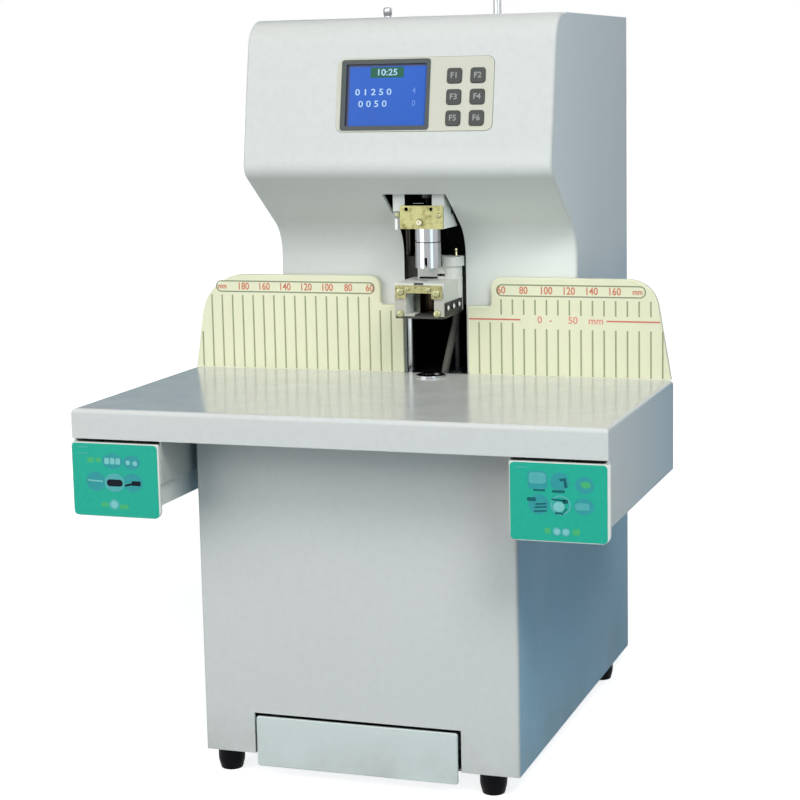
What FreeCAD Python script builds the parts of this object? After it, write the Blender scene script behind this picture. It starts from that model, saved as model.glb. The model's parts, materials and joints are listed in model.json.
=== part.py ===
import FreeCAD, Part
import math
import os

os.makedirs("parts", exist_ok=True)

# Document riveting machine, in millimetres. +Z up, the paper comes in from -Y.
# The origin lies on the floor, under the middle of the whole machine.

# ---------------------------------------------------------------- overall form
TABLE_WIDTH = 437.0
OVERALL_DEPTH = 439.0
TABLE_TOP_Z = 310.0
TABLE_SHEET = 2.0
TABLE_LIP = 23.8
TABLE_CHEEK = 75.4
TABLE_EDGE_R = 4.0

BODY_WIDTH = 269.0
BODY_SETBACK = 51.0
BODY_BOTTOM_Z = 19.0
HEAD_TOP_Z = 614.5
COVER_WALL = 3.0
COVER_EDGE_R = 2.5
PANEL_SHEET = 1.5
REAR_INSET = 2.0
SEAM = 0.2
FLANGE_WIDTH = 12.0

NECK_Y = 26.5
CHIN_Y = -56.0
CHIN_Z = 487.4
FACE_LEAN = 10.7
CHIN_SLOPE = 34.8
TOP_R = 26.0
CHIN_R = 15.0
NECK_R = 35.0

# ---------------------------------------------------------------- tool axis
DRILL_X = 11.5
DRILL_Y = 0.0
SLOT_X = (-19.6, 36.4)
SLOT_TOP_Y = -28.0

# ---------------------------------------------------------------- fits
SLIDE_GAP = 0.3
RUN_FIT = 0.08
SEAT_FIT = 0.05

# ---------------------------------------------------------------- feet
FRONT_LEFT_FOOT_INSET = 16.1
FRONT_RIGHT_FOOT_INSET = 25.8
BACK_FOOT_INSET = 14.5
FOOT_FRONT_INSET = 14.5
FOOT_BACK_INSET = 50.5
FOOT_TOP_R = 11.0
FOOT_SOLE_R = 8.9
FOOT_COLLAR = 11.0
FOOT_WAIST_R = 20.0
FOOT_EDGE_R = 1.4

# ---------------------------------------------------------------- frame
BASE_SHEET = 2.0
FRAME_HALF = 50.0
FRAME_PLATE = 6.0
FRAME_FRONT_Y = -60.0
FRAME_BACK_INSET = 14.5
FRAME_HEEL_GAP = 20.0
FRAME_WINDOW_FRONT_Y = 75.0
FRAME_WINDOW_INSET = 20.0
FRAME_WINDOW_Z = (345.0, 530.0)
FRAME_WINDOW_LOW_Z = (80.0, 250.0)
FRAME_WINDOW_R = 15.0
FRAME_CORNER_R = 6.0
FRAME_TOP_R = 12.0
BED_THICK = 12.0
BED_FRONT_Y = -45.0
BED_BACK_Y = 102.0
TOP_PLATE_Z = (602.0, 608.0)
TOP_PLATE_BACK_Y = 125.0

COLUMN_OFFSET = 33.7
COLUMN_Y = 42.0
COLUMN_R = 6.0
BOSS_R = 11.0

# ---------------------------------------------------------------- fences
FENCE_Y = 19.5
FENCE_THICK = 5.0
FENCE_HEIGHT = 84.0
FENCE_EDGE_R = 1.0
FENCE_STEP_HEIGHT = 59.0
FENCE_STEP_X = (-40.5, 60.5)
FENCE_END_X = (-19.3, 39.3)
FENCE_CORNER_R = 9.0
FENCE_STEP_R = 3.0
FENCE_END_R = 1.5
LEFT_FENCE_FOOT_X = -218.0
LEFT_FENCE_TOP_X = -204.5
LEFT_FENCE_SHOULDER_R = 42.0
RIGHT_FENCE_FOOT_X = 216.5
RIGHT_FENCE_TOP_X = 202.1
RIGHT_FENCE_SHOULDER_R = 26.0
FENCE_BOSS_R = 5.0
FENCE_BOSS_X = (75.0, 115.0)
FENCE_BOSS_HEIGHT = 25.0

# ---------------------------------------------------------------- drilling head
UPPER_BRACKET_Z = (438.5, 449.5)
UPPER_BRACKET_X = (-12.9, 32.3)
UPPER_BRACKET_FRONT_Y = -20.0
EAR_TOP_Z = 472.0
EAR_WIDTH = 10.5
EAR_DEPTH = 20.0
CORE_R = 16.0
CROSSBAR_FRONT_Y = 31.0
CROSSBAR_BACK_Y = 54.0
SHELF_THICK = 8.0
SHELF_BACK_Y = 120.0
BRACKET_PLATE_X = (-6.2, 31.8)
BRACKET_PLATE_TOP_Z = 458.0
BRACKET_PLATE_THICK = 2.0
BRACKET_PLATE_R = 1.0
BRACKET_PLATE_HOLE_R = 1.7
BRACKET_PLATE_HOLE_X = (-0.5, 21.7)
BRACKET_PLATE_HOLE_DROP = 3.0

SLEEVE_R = 11.3
SLEEVE_BOTTOM_Z = 404.2
SLEEVE_GROOVE_Z = 427.0
SLEEVE_GROOVE = 0.5
SLEEVE_SLOT_WIDTH = 2.6
SLEEVE_SLOT_HEIGHT = 9.0
SLEEVE_SLOT_ANGLES = (5.0, 95.0, 185.0, 275.0)

QUILL_R = 8.5
CHUCK_BOTTOM_Z = 462.7
CHUCK_HEIGHT = 8.5
CHUCK_R = 8.0
CHUCK_EDGE_R = 1.2
BIT_R = 3.25
BIT_BORE_R = 2.2
BIT_TIP_Z = 404.7
BIT_SOCKET = 13.5
BIT_BEVEL = 2.0
SPINDLE_R = 5.0
SPINDLE_TOP_Z = 599.5

CROSSHEAD_Z = (577.0, 585.0)
CROSSHEAD_HALF = 29.0
CROSSHEAD_FRONT_R = 17.0
CROSSHEAD_BOSS_TOP_Z = 597.0
CROSSHEAD_TAIL_RIM = 2.0
CROSSHEAD_NUT_BOTTOM_Z = 562.0
NUT_R = 11.0

BELT_Z = (588.2, 596.8)
BELT_THICK = 1.5
BELT_GAP = 0.3
PULLEY_Z = (586.5, 598.5)
PULLEY_RIM = 1.3
SPINDLE_PULLEY_R = 11.0
MOTOR_PULLEY_R = 8.0
PULLEY_RIM_R = 1.9
DRILL_MOTOR_Y = 160.0
DRILL_MOTOR_R = 29.0
DRILL_MOTOR_LENGTH = 90.0
DRILL_MOTOR_BELL = 14.0
DRILL_MOTOR_WAIST = 2.0
MOTOR_SHAFT_R = 4.0
MOTOR_BORE_DEPTH = 20.0

DRILL_SCREW_Y = 96.0
SCREW_R = 5.0
FEED_MOTOR_SIDE = 42.0
FEED_MOTOR_HEIGHT = 48.0
FEED_MOTOR_EDGE_R = 4.0
FEED_MOTOR_CAP = 11.0
FEED_MOTOR_WAIST = 0.8
SCREW_SEAT = 10.0

# ---------------------------------------------------------------- presser head
PRESSER_BOTTOM_Z = 363.0
PRESSER_FOOT_THICK = 2.0
PRESSER_TOP_Z = 393.0
PRESSER_FRONT_Y = -25.5
PRESSER_LEFT = 22.6
PRESSER_RIGHT = 21.0
PRESSER_WALL_FRONT_Y = 14.5
PRESSER_WALL_TOP_Z = 412.0
PRESSER_WALL_INSET = 7.6
PRESSER_POST_X = 26.0
PRESSER_POST_Y = 20.5
PRESSER_POST_R = 8.4
PRESSER_CAP_R = 10.2
PRESSER_CAP_Z = 404.0
PRESSER_BAR_Z = (369.0, 410.5)
PRESSER_SCREW_Y = 80.0
PRESSER_NUT_TOP_Z = 385.0
PRESSER_SCREW_TOP_Z = 389.0
PRESSER_SLIT_X = (-1.8, 23.5)
PRESSER_SLIT_STEP_X = 14.5
PRESSER_SLIT_Z = (393.0, 394.6)
PRESSER_SLIT_HIGH_Z = (395.2, 397.2)
PRESSER_SLIT_DEPTH = 5.0
PRESSER_POCKET_X = (6.5, 14.4)
PRESSER_POCKET_DEPTH = 3.0
DIE_CUP_R = 12.4
DIE_CUP_BORE_R = 9.2
DIE_CUP_TOP_Z = 391.0
DIE_CUP_OPEN_X = 6.6
WINDOW_HALF = 12.4
WINDOW_Z = (366.5, 385.0)
STRIP_Z = (384.7, 391.3)
STRIP_TAB_Z = 380.0
STRIP_TAB_WIDTH = 9.5
STRIP_THICK = 1.6
STRIP_R = 1.2
FOOT_HOLE_R = 4.2
PRESSER_FOOT_R = 2.0
TERMINAL_X = 1.0
TERMINAL_Y = (-24.0, 23.0)
TERMINAL_Z = (365.3, 376.3)
INSULATOR_R = 2.6
INSULATOR_LENGTH = 1.4
INSULATOR_Y = (-20.5, -5.0, 10.5)
INSULATOR_Z = 372.0

HOSE_R = 3.2
HOSE_BEND_SHARE = 0.45
HOSE_ROUTE = (
    (24.2, 40.0, 369.0),
    (22.9, 40.0, 355.5),
    (17.6, 40.0, 334.0),
    (12.0, 40.0, 311.0),
    (7.8, 40.0, 287.0),
    (5.2, 40.0, 262.0),
    (4.6, 40.0, 238.0),
)
HOSE_SLOT_X = (6.0, 28.0)
HOSE_SLOT_WIDTH = 9.0
CHUTE_X = (-8.0, 36.0)
CHUTE_THROAT_X = (-8.0, 17.0)
CHUTE_Y = (28.0, 52.0)
CHUTE_SHOULDER_Z = (190.0, 230.0)
CHUTE_OUTLET_Z = 58.0
CHUTE_SHEET = 1.5

# ---------------------------------------------------------------- lower die
DIE_RING_R = 13.0
DIE_RING_NECK_R = 10.5
DIE_RING_PROUD = 1.8
DIE_RING_CHAMFER = 1.4
LOWER_DIE_R = 7.0
LOWER_DIE_BORE_R = 3.7
LOWER_DIE_LIFT = 6.0
LOWER_DIE_LENGTH = 48.0
ACTUATOR_R = 18.0
ACTUATOR_HEIGHT = 46.0
ACTUATOR_EDGE_R = 1.5

# ---------------------------------------------------------------- tube feed
TUBE_X = 46.5
TUBE_Y = 99.5
TUBE_R = 2.5
TUBE_WALL = 0.7
GUIDE_R = 3.5
GUIDE_BORE_R = 2.8
GUIDE_TOP_Z = 675.0
GUIDE_BOTTOM_Z = 572.0
TUBE_TOP_Z = 690.0
TUBE_BOTTOM_Z = 505.0
ROLLER_R = 8.0
ROLLER_Z = 560.0
ROLLER_X = (42.0, 51.0)
ROLLER_SHAFT_R = 2.5
TUBE_MOTOR_SIDE = 30.0
TUBE_MOTOR_LENGTH = 34.0
TUBE_MOTOR_EDGE_R = 3.0
ROLLER_SHAFT_SEAT = 8.0

# ---------------------------------------------------------------- control panel
PANEL_X = (-51.7, 83.7)
PANEL_UP = (34.0, 94.8)
PANEL_R = 6.0
PANEL_PROUD = 0.6
PANEL_CUT = (-10.0, 10.0)
BEZEL_X = (-47.8, 29.5)
BEZEL_UP = (35.1, 93.7)
BEZEL_R = 2.5
BEZEL_PROUD = 1.2
GLASS_X = (-43.6, 26.4)
GLASS_UP = (38.6, 90.0)
GLASS_RECESS = 0.9
GLASS_R = 1.0
KEY_SIZE = 12.4
KEY_R = 2.4
KEY_X = (50.3, 70.3)
KEY_UP = (79.0, 61.6, 44.2)
KEY_PROUD = 1.7
KEY_BACK = 2.2
KEY_EDGE_R = 0.5

# ---------------------------------------------------------------- drawers
DRAWER_FRONT_GAP = 8.7
DRAWER_FRONT_OVERLAP = 1.2
DRAWER_FRONT_Z = (223.4, 283.4)
DRAWER_FRONT_THICK = 3.0
DRAWER_FRONT_SETBACK = 0.4
DRAWER_FRONT_TOP_R = 1.6
DRAWER_FRONT_BOTTOM_R = 6.5
RAIL_SHEET = 1.5
RAIL_BODY_GAP = 7.5
RAIL_HEIGHT = 32.0
RAIL_BOTTOM_Z = 252.0
RAIL_LEDGE_Z = 270.0
RAIL_LEDGE = 2.5
RAIL_BACK_Y = -20.0
DRAWER_SHEET = 1.5
DRAWER_BOTTOM_Z = 232.8
DRAWER_BACK_Y = -30.0
DRAWER_FLANGE = 2.3

# ---------------------------------------------------------------- waste tray
TRAY_X = -2.0
TRAY_FRONT_HALF = 86.0
TRAY_FRONT_Z = (9.4, 51.4)
TRAY_FRONT_PROUD = 2.5
TRAY_FRONT_THICK = 2.2
TRAY_FRONT_R = 2.0
TRAY_FRONT_EDGE_R = 0.8
TRAY_HALF = 82.0
TRAY_SHEET = 1.2
TRAY_TOP_Z = 46.0
TRAY_BACK_Y = 62.0
TRAY_MOUTH_HALF = 88.5
TRAY_MOUTH_TOP_Z = 53.6
TRAY_RIB = 1.5
TRAY_RIB_HEIGHT = 12.0
TRAY_RIB_BEYOND = 15.0

# ---------------------------------------------------------------- rear and electrics
LOUVRE_X = (-95.0, -15.0)
LOUVRE_COUNT = 9
LOUVRE_PITCH = 14.0
LOUVRE_HEIGHT = 4.0
LOUVRE_BANK_Z = (120.0, 430.0)
INLET_X = (70.0, 100.0)
INLET_Z = (52.0, 104.0)
INLET_DEPTH = 24.0
INLET_FLANGE = 1.6
SOCKET_X = (73.0, 97.0)
SOCKET_Z = (56.0, 74.0)
SOCKET_DEPTH = 15.0
SOCKET_PIN = (2.0, 4.0)
SWITCH_Z = (80.0, 100.0)
SWITCH_X = (78.0, 92.0)
SWITCH_DEPTH = 9.0
ROCKER_TILT = 10.0
BOARD_LENGTH = 140.0
BOARD_BACK_INSET = 34.5
BOARD_Z = (95.0, 235.0)
BOARD_THICK = 1.6
STANDOFF = 8.0
STANDOFF_R = 3.0
STANDOFF_INSET = 6.0
CHIP_Y = (55.0, 85.0)
CHIP_Z = (155.0, 185.0)
CHIP_HEIGHT = 4.0
RELAY_Y = (15.0, 45.0)
RELAY_Z = (190.0, 225.0)
RELAY_HEIGHT = 22.0
PLUG_Y = (95.0, 130.0)
PLUG_Z = (105.0, 117.0)
PLUG_HEIGHT = 14.0
CAN_Y = (22.0, 42.0, 62.0)
CAN_Z = 120.0
CAN_R = 7.0
CAN_HEIGHT = 20.0
SUPPLY_FRAME_GAP = 9.5
SUPPLY_SIDE_GAP = 14.5
SUPPLY_LENGTH = 76.0
SUPPLY_BACK_INSET = 33.5
SUPPLY_HEIGHT = 58.0
SUPPLY_FOOT = 3.0
SUPPLY_FOOT_REACH = 6.0
COIL_REACH = 8.0
COIL_INSET_Y = 14.0
COIL_INSET_LOW = 12.0
COIL_INSET_HIGH = 9.0
COIL_R = 5.0

# ---------------------------------------------------------------- worked-out places
TABLE_HALF = TABLE_WIDTH / 2
TABLE_FRONT_Y = -OVERALL_DEPTH / 2
BODY_FRONT_Y = TABLE_FRONT_Y + BODY_SETBACK
BODY_BACK_Y = OVERALL_DEPTH / 2
BODY_HALF = BODY_WIDTH / 2
TABLE_UNDER_Z = TABLE_TOP_Z - TABLE_SHEET
TABLE_BACK_Y = FENCE_Y - SEAM
FRAME_BACK_Y = BODY_BACK_Y - FRAME_BACK_INSET
BASE_TOP_Z = BODY_BOTTOM_Z + BASE_SHEET
BED_Z = (TABLE_UNDER_Z - BED_THICK, TABLE_UNDER_Z)
FRAME_X = (DRILL_X - FRAME_HALF, DRILL_X + FRAME_HALF)
FRAME_WINDOW_Y = (FRAME_WINDOW_FRONT_Y, FRAME_BACK_Y - FRAME_WINDOW_INSET)
COLUMN_X = (DRILL_X - COLUMN_OFFSET, DRILL_X + COLUMN_OFFSET)
REAR_COVER_Y = (BODY_BACK_Y - REAR_INSET - PANEL_SHEET, BODY_BACK_Y - REAR_INSET)
INNER_HALF = BODY_HALF - PANEL_SHEET
DRAWER_FRONT_X = (BODY_HALF + DRAWER_FRONT_GAP, TABLE_HALF + DRAWER_FRONT_OVERLAP)
RAIL_INNER_X = BODY_HALF + RAIL_BODY_GAP
SUPPLY_X = (FRAME_X[1] + FRAME_PLATE + SUPPLY_FRAME_GAP, INNER_HALF - SUPPLY_SIDE_GAP)
SUPPLY_BACK_Y = BODY_BACK_Y - SUPPLY_BACK_INSET
SUPPLY_Y = (SUPPLY_BACK_Y - SUPPLY_LENGTH, SUPPLY_BACK_Y)
BOARD_BACK_Y = BODY_BACK_Y - BOARD_BACK_INSET
BOARD_Y = (BOARD_BACK_Y - BOARD_LENGTH, BOARD_BACK_Y)
LEAN_TAN = math.tan(math.radians(FACE_LEAN))
NECK_CORNER_Z = CHIN_Z - (NECK_Y - CHIN_Y) * math.tan(math.radians(CHIN_SLOPE))
TOP_CORNER_Y = CHIN_Y + (HEAD_TOP_Z - CHIN_Z) * LEAN_TAN
PRESSER_X = (DRILL_X - PRESSER_LEFT, DRILL_X + PRESSER_RIGHT)
LEDGE_FRONT_Y = TOP_CORNER_Y + TOP_R
ON_FACE = FreeCAD.Placement(
    FreeCAD.Vector(0, CHIN_Y, CHIN_Z),
    FreeCAD.Rotation(FreeCAD.Vector(1, 0, 0), 90 - FACE_LEAN),
)


# ================================================================ shape helpers
def vec(x, y, z):
    return FreeCAD.Vector(x, y, z)


def block(x, y, z):
    """A box between the low and high values of each axis."""
    return Part.makeBox(x[1] - x[0], y[1] - y[0], z[1] - z[0], vec(x[0], y[0], z[0]))


def post(radius, x, y, z):
    """An upright cylinder."""
    return Part.makeCylinder(radius, z[1] - z[0], vec(x, y, z[0]))


def bar_x(radius, x, y, z):
    """A cylinder along X."""
    return Part.makeCylinder(radius, x[1] - x[0], vec(x[0], y, z), vec(1, 0, 0))


def bar_y(radius, x, y, z):
    """A cylinder along Y."""
    return Part.makeCylinder(radius, y[1] - y[0], vec(x, y[0], z), vec(0, 1, 0))


def sleeve(outer, inner, x, y, z):
    return post(outer, x, y, z).cut(post(inner, x, y, z))


def fused(shapes):
    """One solid out of several that touch."""
    whole = shapes[0].multiFuse(shapes[1:]) if len(shapes) > 1 else shapes[0]
    return whole.removeSplitter()


def rounded_wire(corners, radii):
    """A closed wire through the corners, each rounded by its radius."""
    starts = []
    ends = []
    middles = []
    count = len(corners)
    for i in range(count):
        corner = corners[i]
        back = (corners[i - 1] - corner).normalize()
        ahead = (corners[(i + 1) % count] - corner).normalize()
        half = back.getAngle(ahead) / 2
        reach = radii[i] / math.tan(half)
        inward = (back + ahead).normalize()
        starts.append(corner + back * reach)
        ends.append(corner + ahead * reach)
        middles.append(corner + inward * (radii[i] / math.sin(half) - radii[i]))
    edges = []
    for i in range(count):
        if radii[i] > 0:
            edges.append(Part.Arc(starts[i], middles[i], ends[i]).toShape())
        following = starts[(i + 1) % count]
        if (following - ends[i]).Length > 1e-6:
            edges.append(Part.LineSegment(ends[i], following).toShape())
    return Part.Wire(edges)


def side_prism(outline, radii, x):
    """A (Y, Z) outline drawn out along X."""
    corners = [vec(x[0], y, z) for y, z in outline]
    return Part.Face(rounded_wire(corners, radii)).extrude(vec(x[1] - x[0], 0, 0))


def front_prism(outline, radii, y):
    """An (X, Z) outline drawn out along Y."""
    corners = [vec(x, y[0], z) for x, z in outline]
    return Part.Face(rounded_wire(corners, radii)).extrude(vec(0, y[1] - y[0], 0))


def flat_prism(outline, radii, z):
    """An (X, Y) outline drawn out along Z."""
    corners = [vec(x, y, z[0]) for x, y in outline]
    return Part.Face(rounded_wire(corners, radii)).extrude(vec(0, 0, z[1] - z[0]))


def rectangle(a, b):
    return [(a[0], b[0]), (a[1], b[0]), (a[1], b[1]), (a[0], b[1])]


def rounded_slab(x, y, z, radius):
    return flat_prism(rectangle(x, y), [radius] * 4, z)


def rounded_pane(x, y, z, radius):
    return front_prism(rectangle(x, z), [radius] * 4, y)


def grown(span, amount):
    return (span[0] - amount, span[1] + amount)


def shifted(span, amount):
    return (span[0] + amount, span[1] + amount)


def mirrored(span, side):
    """An X span given for the right half, on the side asked for."""
    return span if side > 0 else (-span[1], -span[0])


def inset(outline, distances):
    """A clockwise (Y, Z) outline with each edge moved inwards by its distance."""
    count = len(outline)
    moved = []
    for i in range(count):
        start = outline[i]
        end = outline[(i + 1) % count]
        length = math.hypot(end[0] - start[0], end[1] - start[1])
        along = ((end[0] - start[0]) / length, (end[1] - start[1]) / length)
        right = (along[1], -along[0])
        base = (start[0] + right[0] * distances[i], start[1] + right[1] * distances[i])
        moved.append((base, along))
    corners = []
    for i in range(count):
        (px, pz), (ux, uz) = moved[i - 1]
        (qx, qz), (vx, vz) = moved[i]
        share = ((qx - px) * vz - (qz - pz) * vx) / (ux * vz - uz * vx)
        corners.append((px + ux * share, pz + uz * share))
    return corners


def fillet_where(shape, radius, wanted):
    """The shape with the edges rounded whose middle point is wanted."""
    edges = [e for e in shape.Edges if wanted(e.CenterOfMass, e)]
    return shape.makeFillet(radius, edges)


def save(name, shape):
    shape.exportStep("parts/" + name + ".step")


# ================================================================ outlines
def head_outline(bottom_z, back_y):
    return [
        (NECK_Y, bottom_z),
        (NECK_Y, NECK_CORNER_Z),
        (CHIN_Y, CHIN_Z),
        (TOP_CORNER_Y, HEAD_TOP_Z),
        (back_y, HEAD_TOP_Z),
        (back_y, bottom_z),
    ]


def side_outline():
    head = head_outline(BODY_BOTTOM_Z, BODY_BACK_Y)
    lower = [(BODY_FRONT_Y, BODY_BOTTOM_Z), (BODY_FRONT_Y, TABLE_UNDER_Z), (NECK_Y, TABLE_UNDER_Z)]
    return lower + head[1:]


# ================================================================ casing
def head_cover():
    """The moulded front of the head: neck, chin, leaning face and top in one shell."""
    outer_radii = [0, NECK_R, CHIN_R, TOP_R, 0, 0]
    inner_radii = [0, NECK_R + COVER_WALL, CHIN_R - COVER_WALL, TOP_R - COVER_WALL, 0, 0]
    outer = side_prism(head_outline(TABLE_UNDER_Z, BODY_BACK_Y), outer_radii, (-BODY_HALF, BODY_HALF))
    outer = fillet_where(outer, COVER_EDGE_R, on_visible_side_edge)
    beyond = REAR_INSET + PANEL_SHEET
    room = head_outline(TABLE_UNDER_Z - beyond, BODY_BACK_Y + beyond)
    room = inset(room, [COVER_WALL] * 4 + [0, 0])
    shell = outer.cut(side_prism(room, inner_radii, grown((-BODY_HALF, BODY_HALF), beyond)))
    slot_y = (SLOT_TOP_Y, NECK_Y + 2 * COVER_WALL)
    slot_top = CHIN_Z - (SLOT_TOP_Y - CHIN_Y) * math.tan(math.radians(CHIN_SLOPE)) + 4 * COVER_WALL
    shell = shell.cut(block(SLOT_X, slot_y, (TABLE_UNDER_Z - beyond, slot_top)))
    mouth_x = grown(PANEL_X, SLIDE_GAP)
    mouth_up = grown(PANEL_UP, SLIDE_GAP)
    mouth = rounded_slab(mouth_x, mouth_up, PANEL_CUT, PANEL_R + SLIDE_GAP)
    mouth.Placement = ON_FACE
    shell = shell.cut(mouth)
    tube_hole = post(GUIDE_R + SLIDE_GAP, TUBE_X, TUBE_Y, (HEAD_TOP_Z - TOP_R, HEAD_TOP_Z + TOP_R))
    ledges = [top_ledge(side, SEAM) for side in (-1, 1)]
    return shell.cut(Part.makeCompound([tube_hole] + ledges)).removeSplitter()


def top_ledge(side, spare):
    """The strip beside the cover's top where a side sheet reaches up to the full height."""
    x = mirrored((INNER_HALF - spare, BODY_HALF + spare), side)
    return block(x, (LEDGE_FRONT_Y - spare, BODY_BACK_Y + spare), (HEAD_TOP_Z - COVER_WALL - SEAM, HEAD_TOP_Z + spare))


def on_visible_side_edge(middle, edge):
    """Edges at both sides of the shell, apart from the cut back and bottom ends."""
    at_side = abs(abs(middle.x) - BODY_HALF) < 1e-3
    return at_side and middle.y < BODY_BACK_Y - 1 and middle.z > TABLE_UNDER_Z + 1


def side_panel(side):
    """A full-height side sheet, set behind the covers, with a flange for the rear cover."""
    edge = COVER_WALL + SEAM
    outline = inset(side_outline(), [edge, SEAM, edge, edge, edge, edge, 0, 0])
    radii = [0, 0, 0, NECK_R + edge, CHIN_R - edge, TOP_R - edge, 0, 0]
    sheet = side_prism(outline, radii, mirrored((INNER_HALF, BODY_HALF), side))
    flange_x = mirrored((INNER_HALF - FLANGE_WIDTH, INNER_HALF), side)
    flange_y = (REAR_COVER_Y[0] - PANEL_SHEET, REAR_COVER_Y[0])
    flange = block(flange_x, flange_y, (BASE_TOP_Z + SEAM, HEAD_TOP_Z - edge))
    return fused([sheet, flange, top_ledge(side, 0)])


def body_front_panel():
    """The lower front sheet with rounded side edges and the mouth of the waste tray."""
    y = (BODY_FRONT_Y, BODY_FRONT_Y + COVER_WALL)
    sheet = block((-BODY_HALF, BODY_HALF), y, (BODY_BOTTOM_Z, TABLE_UNDER_Z))
    sheet = fillet_where(
        sheet,
        COVER_EDGE_R,
        lambda middle, edge: abs(abs(middle.x) - BODY_HALF) < 1e-3 and middle.y < y[0] + 1e-3,
    )
    mouth_x = (TRAY_X - TRAY_MOUTH_HALF, TRAY_X + TRAY_MOUTH_HALF)
    mouth = block(mouth_x, grown(y, 1), (BODY_BOTTOM_Z - 1, TRAY_MOUTH_TOP_Z))
    return sheet.cut(mouth)


def louvre_bank(low_z):
    """Slots and pressed hoods of one bank of louvres."""
    slots = []
    hoods = []
    for i in range(LOUVRE_COUNT):
        z = low_z + i * LOUVRE_PITCH
        slots.append(block(LOUVRE_X, grown(REAR_COVER_Y, 1), (z, z + LOUVRE_HEIGHT)))
        lip = [
            (REAR_COVER_Y[1], z + LOUVRE_HEIGHT),
            (REAR_COVER_Y[1], z + LOUVRE_HEIGHT + 2),
            (REAR_COVER_Y[1] + REAR_INSET, z + 1),
            (REAR_COVER_Y[1] + REAR_INSET, z),
        ]
        hoods.append(side_prism(lip, [0] * 4, LOUVRE_X))
    return slots, hoods


def rear_cover():
    """The removable back sheet, with two banks of louvres and the inlet's cut-out."""
    x = (-INNER_HALF + SEAM, INNER_HALF - SEAM)
    z = (BASE_TOP_Z + SEAM, HEAD_TOP_Z - COVER_WALL - SEAM)
    sheet = block(x, REAR_COVER_Y, z)
    hoods = []
    for low_z in LOUVRE_BANK_Z:
        slots, bank_hoods = louvre_bank(low_z)
        sheet = sheet.cut(Part.makeCompound(slots))
        hoods = hoods + bank_hoods
    window = block(grown(INLET_X, SEAM), grown(REAR_COVER_Y, 1), grown(INLET_Z, SEAM))
    return fused([sheet.cut(window)] + hoods)


def base_pan():
    """The bottom sheet, with two ribs that guide the waste tray."""
    y = (BODY_FRONT_Y + COVER_WALL + SEAM, REAR_COVER_Y[0] - PANEL_SHEET - SEAM)
    sheet = block((-INNER_HALF + SEAM, INNER_HALF - SEAM), y, (BODY_BOTTOM_Z, BASE_TOP_Z))
    ribs = []
    for side in (-1, 1):
        inner = TRAY_HALF + SLIDE_GAP
        rib = mirrored((inner, inner + TRAY_RIB), side)
        rib = (rib[0] + TRAY_X, rib[1] + TRAY_X)
        rib_y = (y[0], TRAY_BACK_Y + TRAY_RIB_BEYOND)
        ribs.append(block(rib, rib_y, (BASE_TOP_Z, BASE_TOP_Z + TRAY_RIB_HEIGHT)))
    return fused([sheet] + ribs)


def rubber_feet():
    """Four moulded rubber feet, round above and drawn in towards the sole."""
    feet = []
    waist_z = BODY_BOTTOM_Z - FOOT_COLLAR
    front_y = BODY_FRONT_Y + FOOT_FRONT_INSET
    back_y = BODY_BACK_Y - FOOT_BACK_INSET
    back_x = BODY_HALF - BACK_FOOT_INSET
    places = [
        (-BODY_HALF + FRONT_LEFT_FOOT_INSET, front_y),
        (BODY_HALF - FRONT_RIGHT_FOOT_INSET, front_y),
        (-back_x, back_y),
        (back_x, back_y),
    ]
    for x, y in places:
        collar = post(FOOT_TOP_R, x, y, (waist_z, BODY_BOTTOM_Z))
        sole = Part.makeCone(FOOT_SOLE_R, FOOT_TOP_R, waist_z, vec(x, y, 0))
        foot = fused([collar, sole])
        foot = fillet_where(foot, FOOT_WAIST_R, lambda m, e: abs(m.z - waist_z) < 0.1)
        feet.append(fillet_where(foot, FOOT_EDGE_R, lambda m, e: m.z < 0.1))
    return Part.makeCompound(feet)


# ================================================================ frame
def frame_plates():
    """Two steel side plates, cut back above the table and over the waste tray."""
    plates = []
    heel_y = TRAY_BACK_Y + FRAME_HEEL_GAP
    sole_z = TRAY_MOUTH_TOP_Z + SLIDE_GAP
    outline = [
        (FRAME_FRONT_Y, sole_z),
        (FRAME_FRONT_Y, TABLE_UNDER_Z),
        (CROSSBAR_FRONT_Y, TABLE_UNDER_Z),
        (CROSSBAR_FRONT_Y, TOP_PLATE_Z[1]),
        (FRAME_BACK_Y, TOP_PLATE_Z[1]),
        (FRAME_BACK_Y, BASE_TOP_Z),
        (heel_y, BASE_TOP_Z),
        (heel_y, sole_z),
    ]
    corner = FRAME_CORNER_R
    radii = [corner, corner, 0, FRAME_TOP_R, FRAME_TOP_R, 0, 0, corner]
    for x0 in (FRAME_X[0] - FRAME_PLATE, FRAME_X[1]):
        x = (x0, x0 + FRAME_PLATE)
        plate = side_prism(outline, radii, x)
        for window_z in (FRAME_WINDOW_Z, FRAME_WINDOW_LOW_Z):
            window = rectangle(FRAME_WINDOW_Y, window_z)
            plate = plate.cut(side_prism(window, [FRAME_WINDOW_R] * 4, grown(x, 1)))
        plates.append(plate)
    hole_x = grown((FRAME_X[1], FRAME_X[1] + FRAME_PLATE), 1)
    plates[1] = plates[1].cut(bar_x(ROLLER_SHAFT_R + SLIDE_GAP, hole_x, roller_y(), ROLLER_Z))
    return Part.makeCompound(plates)


def column_holes(z):
    return [post(COLUMN_R + SEAT_FIT, x, COLUMN_Y, z) for x in COLUMN_X]


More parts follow.
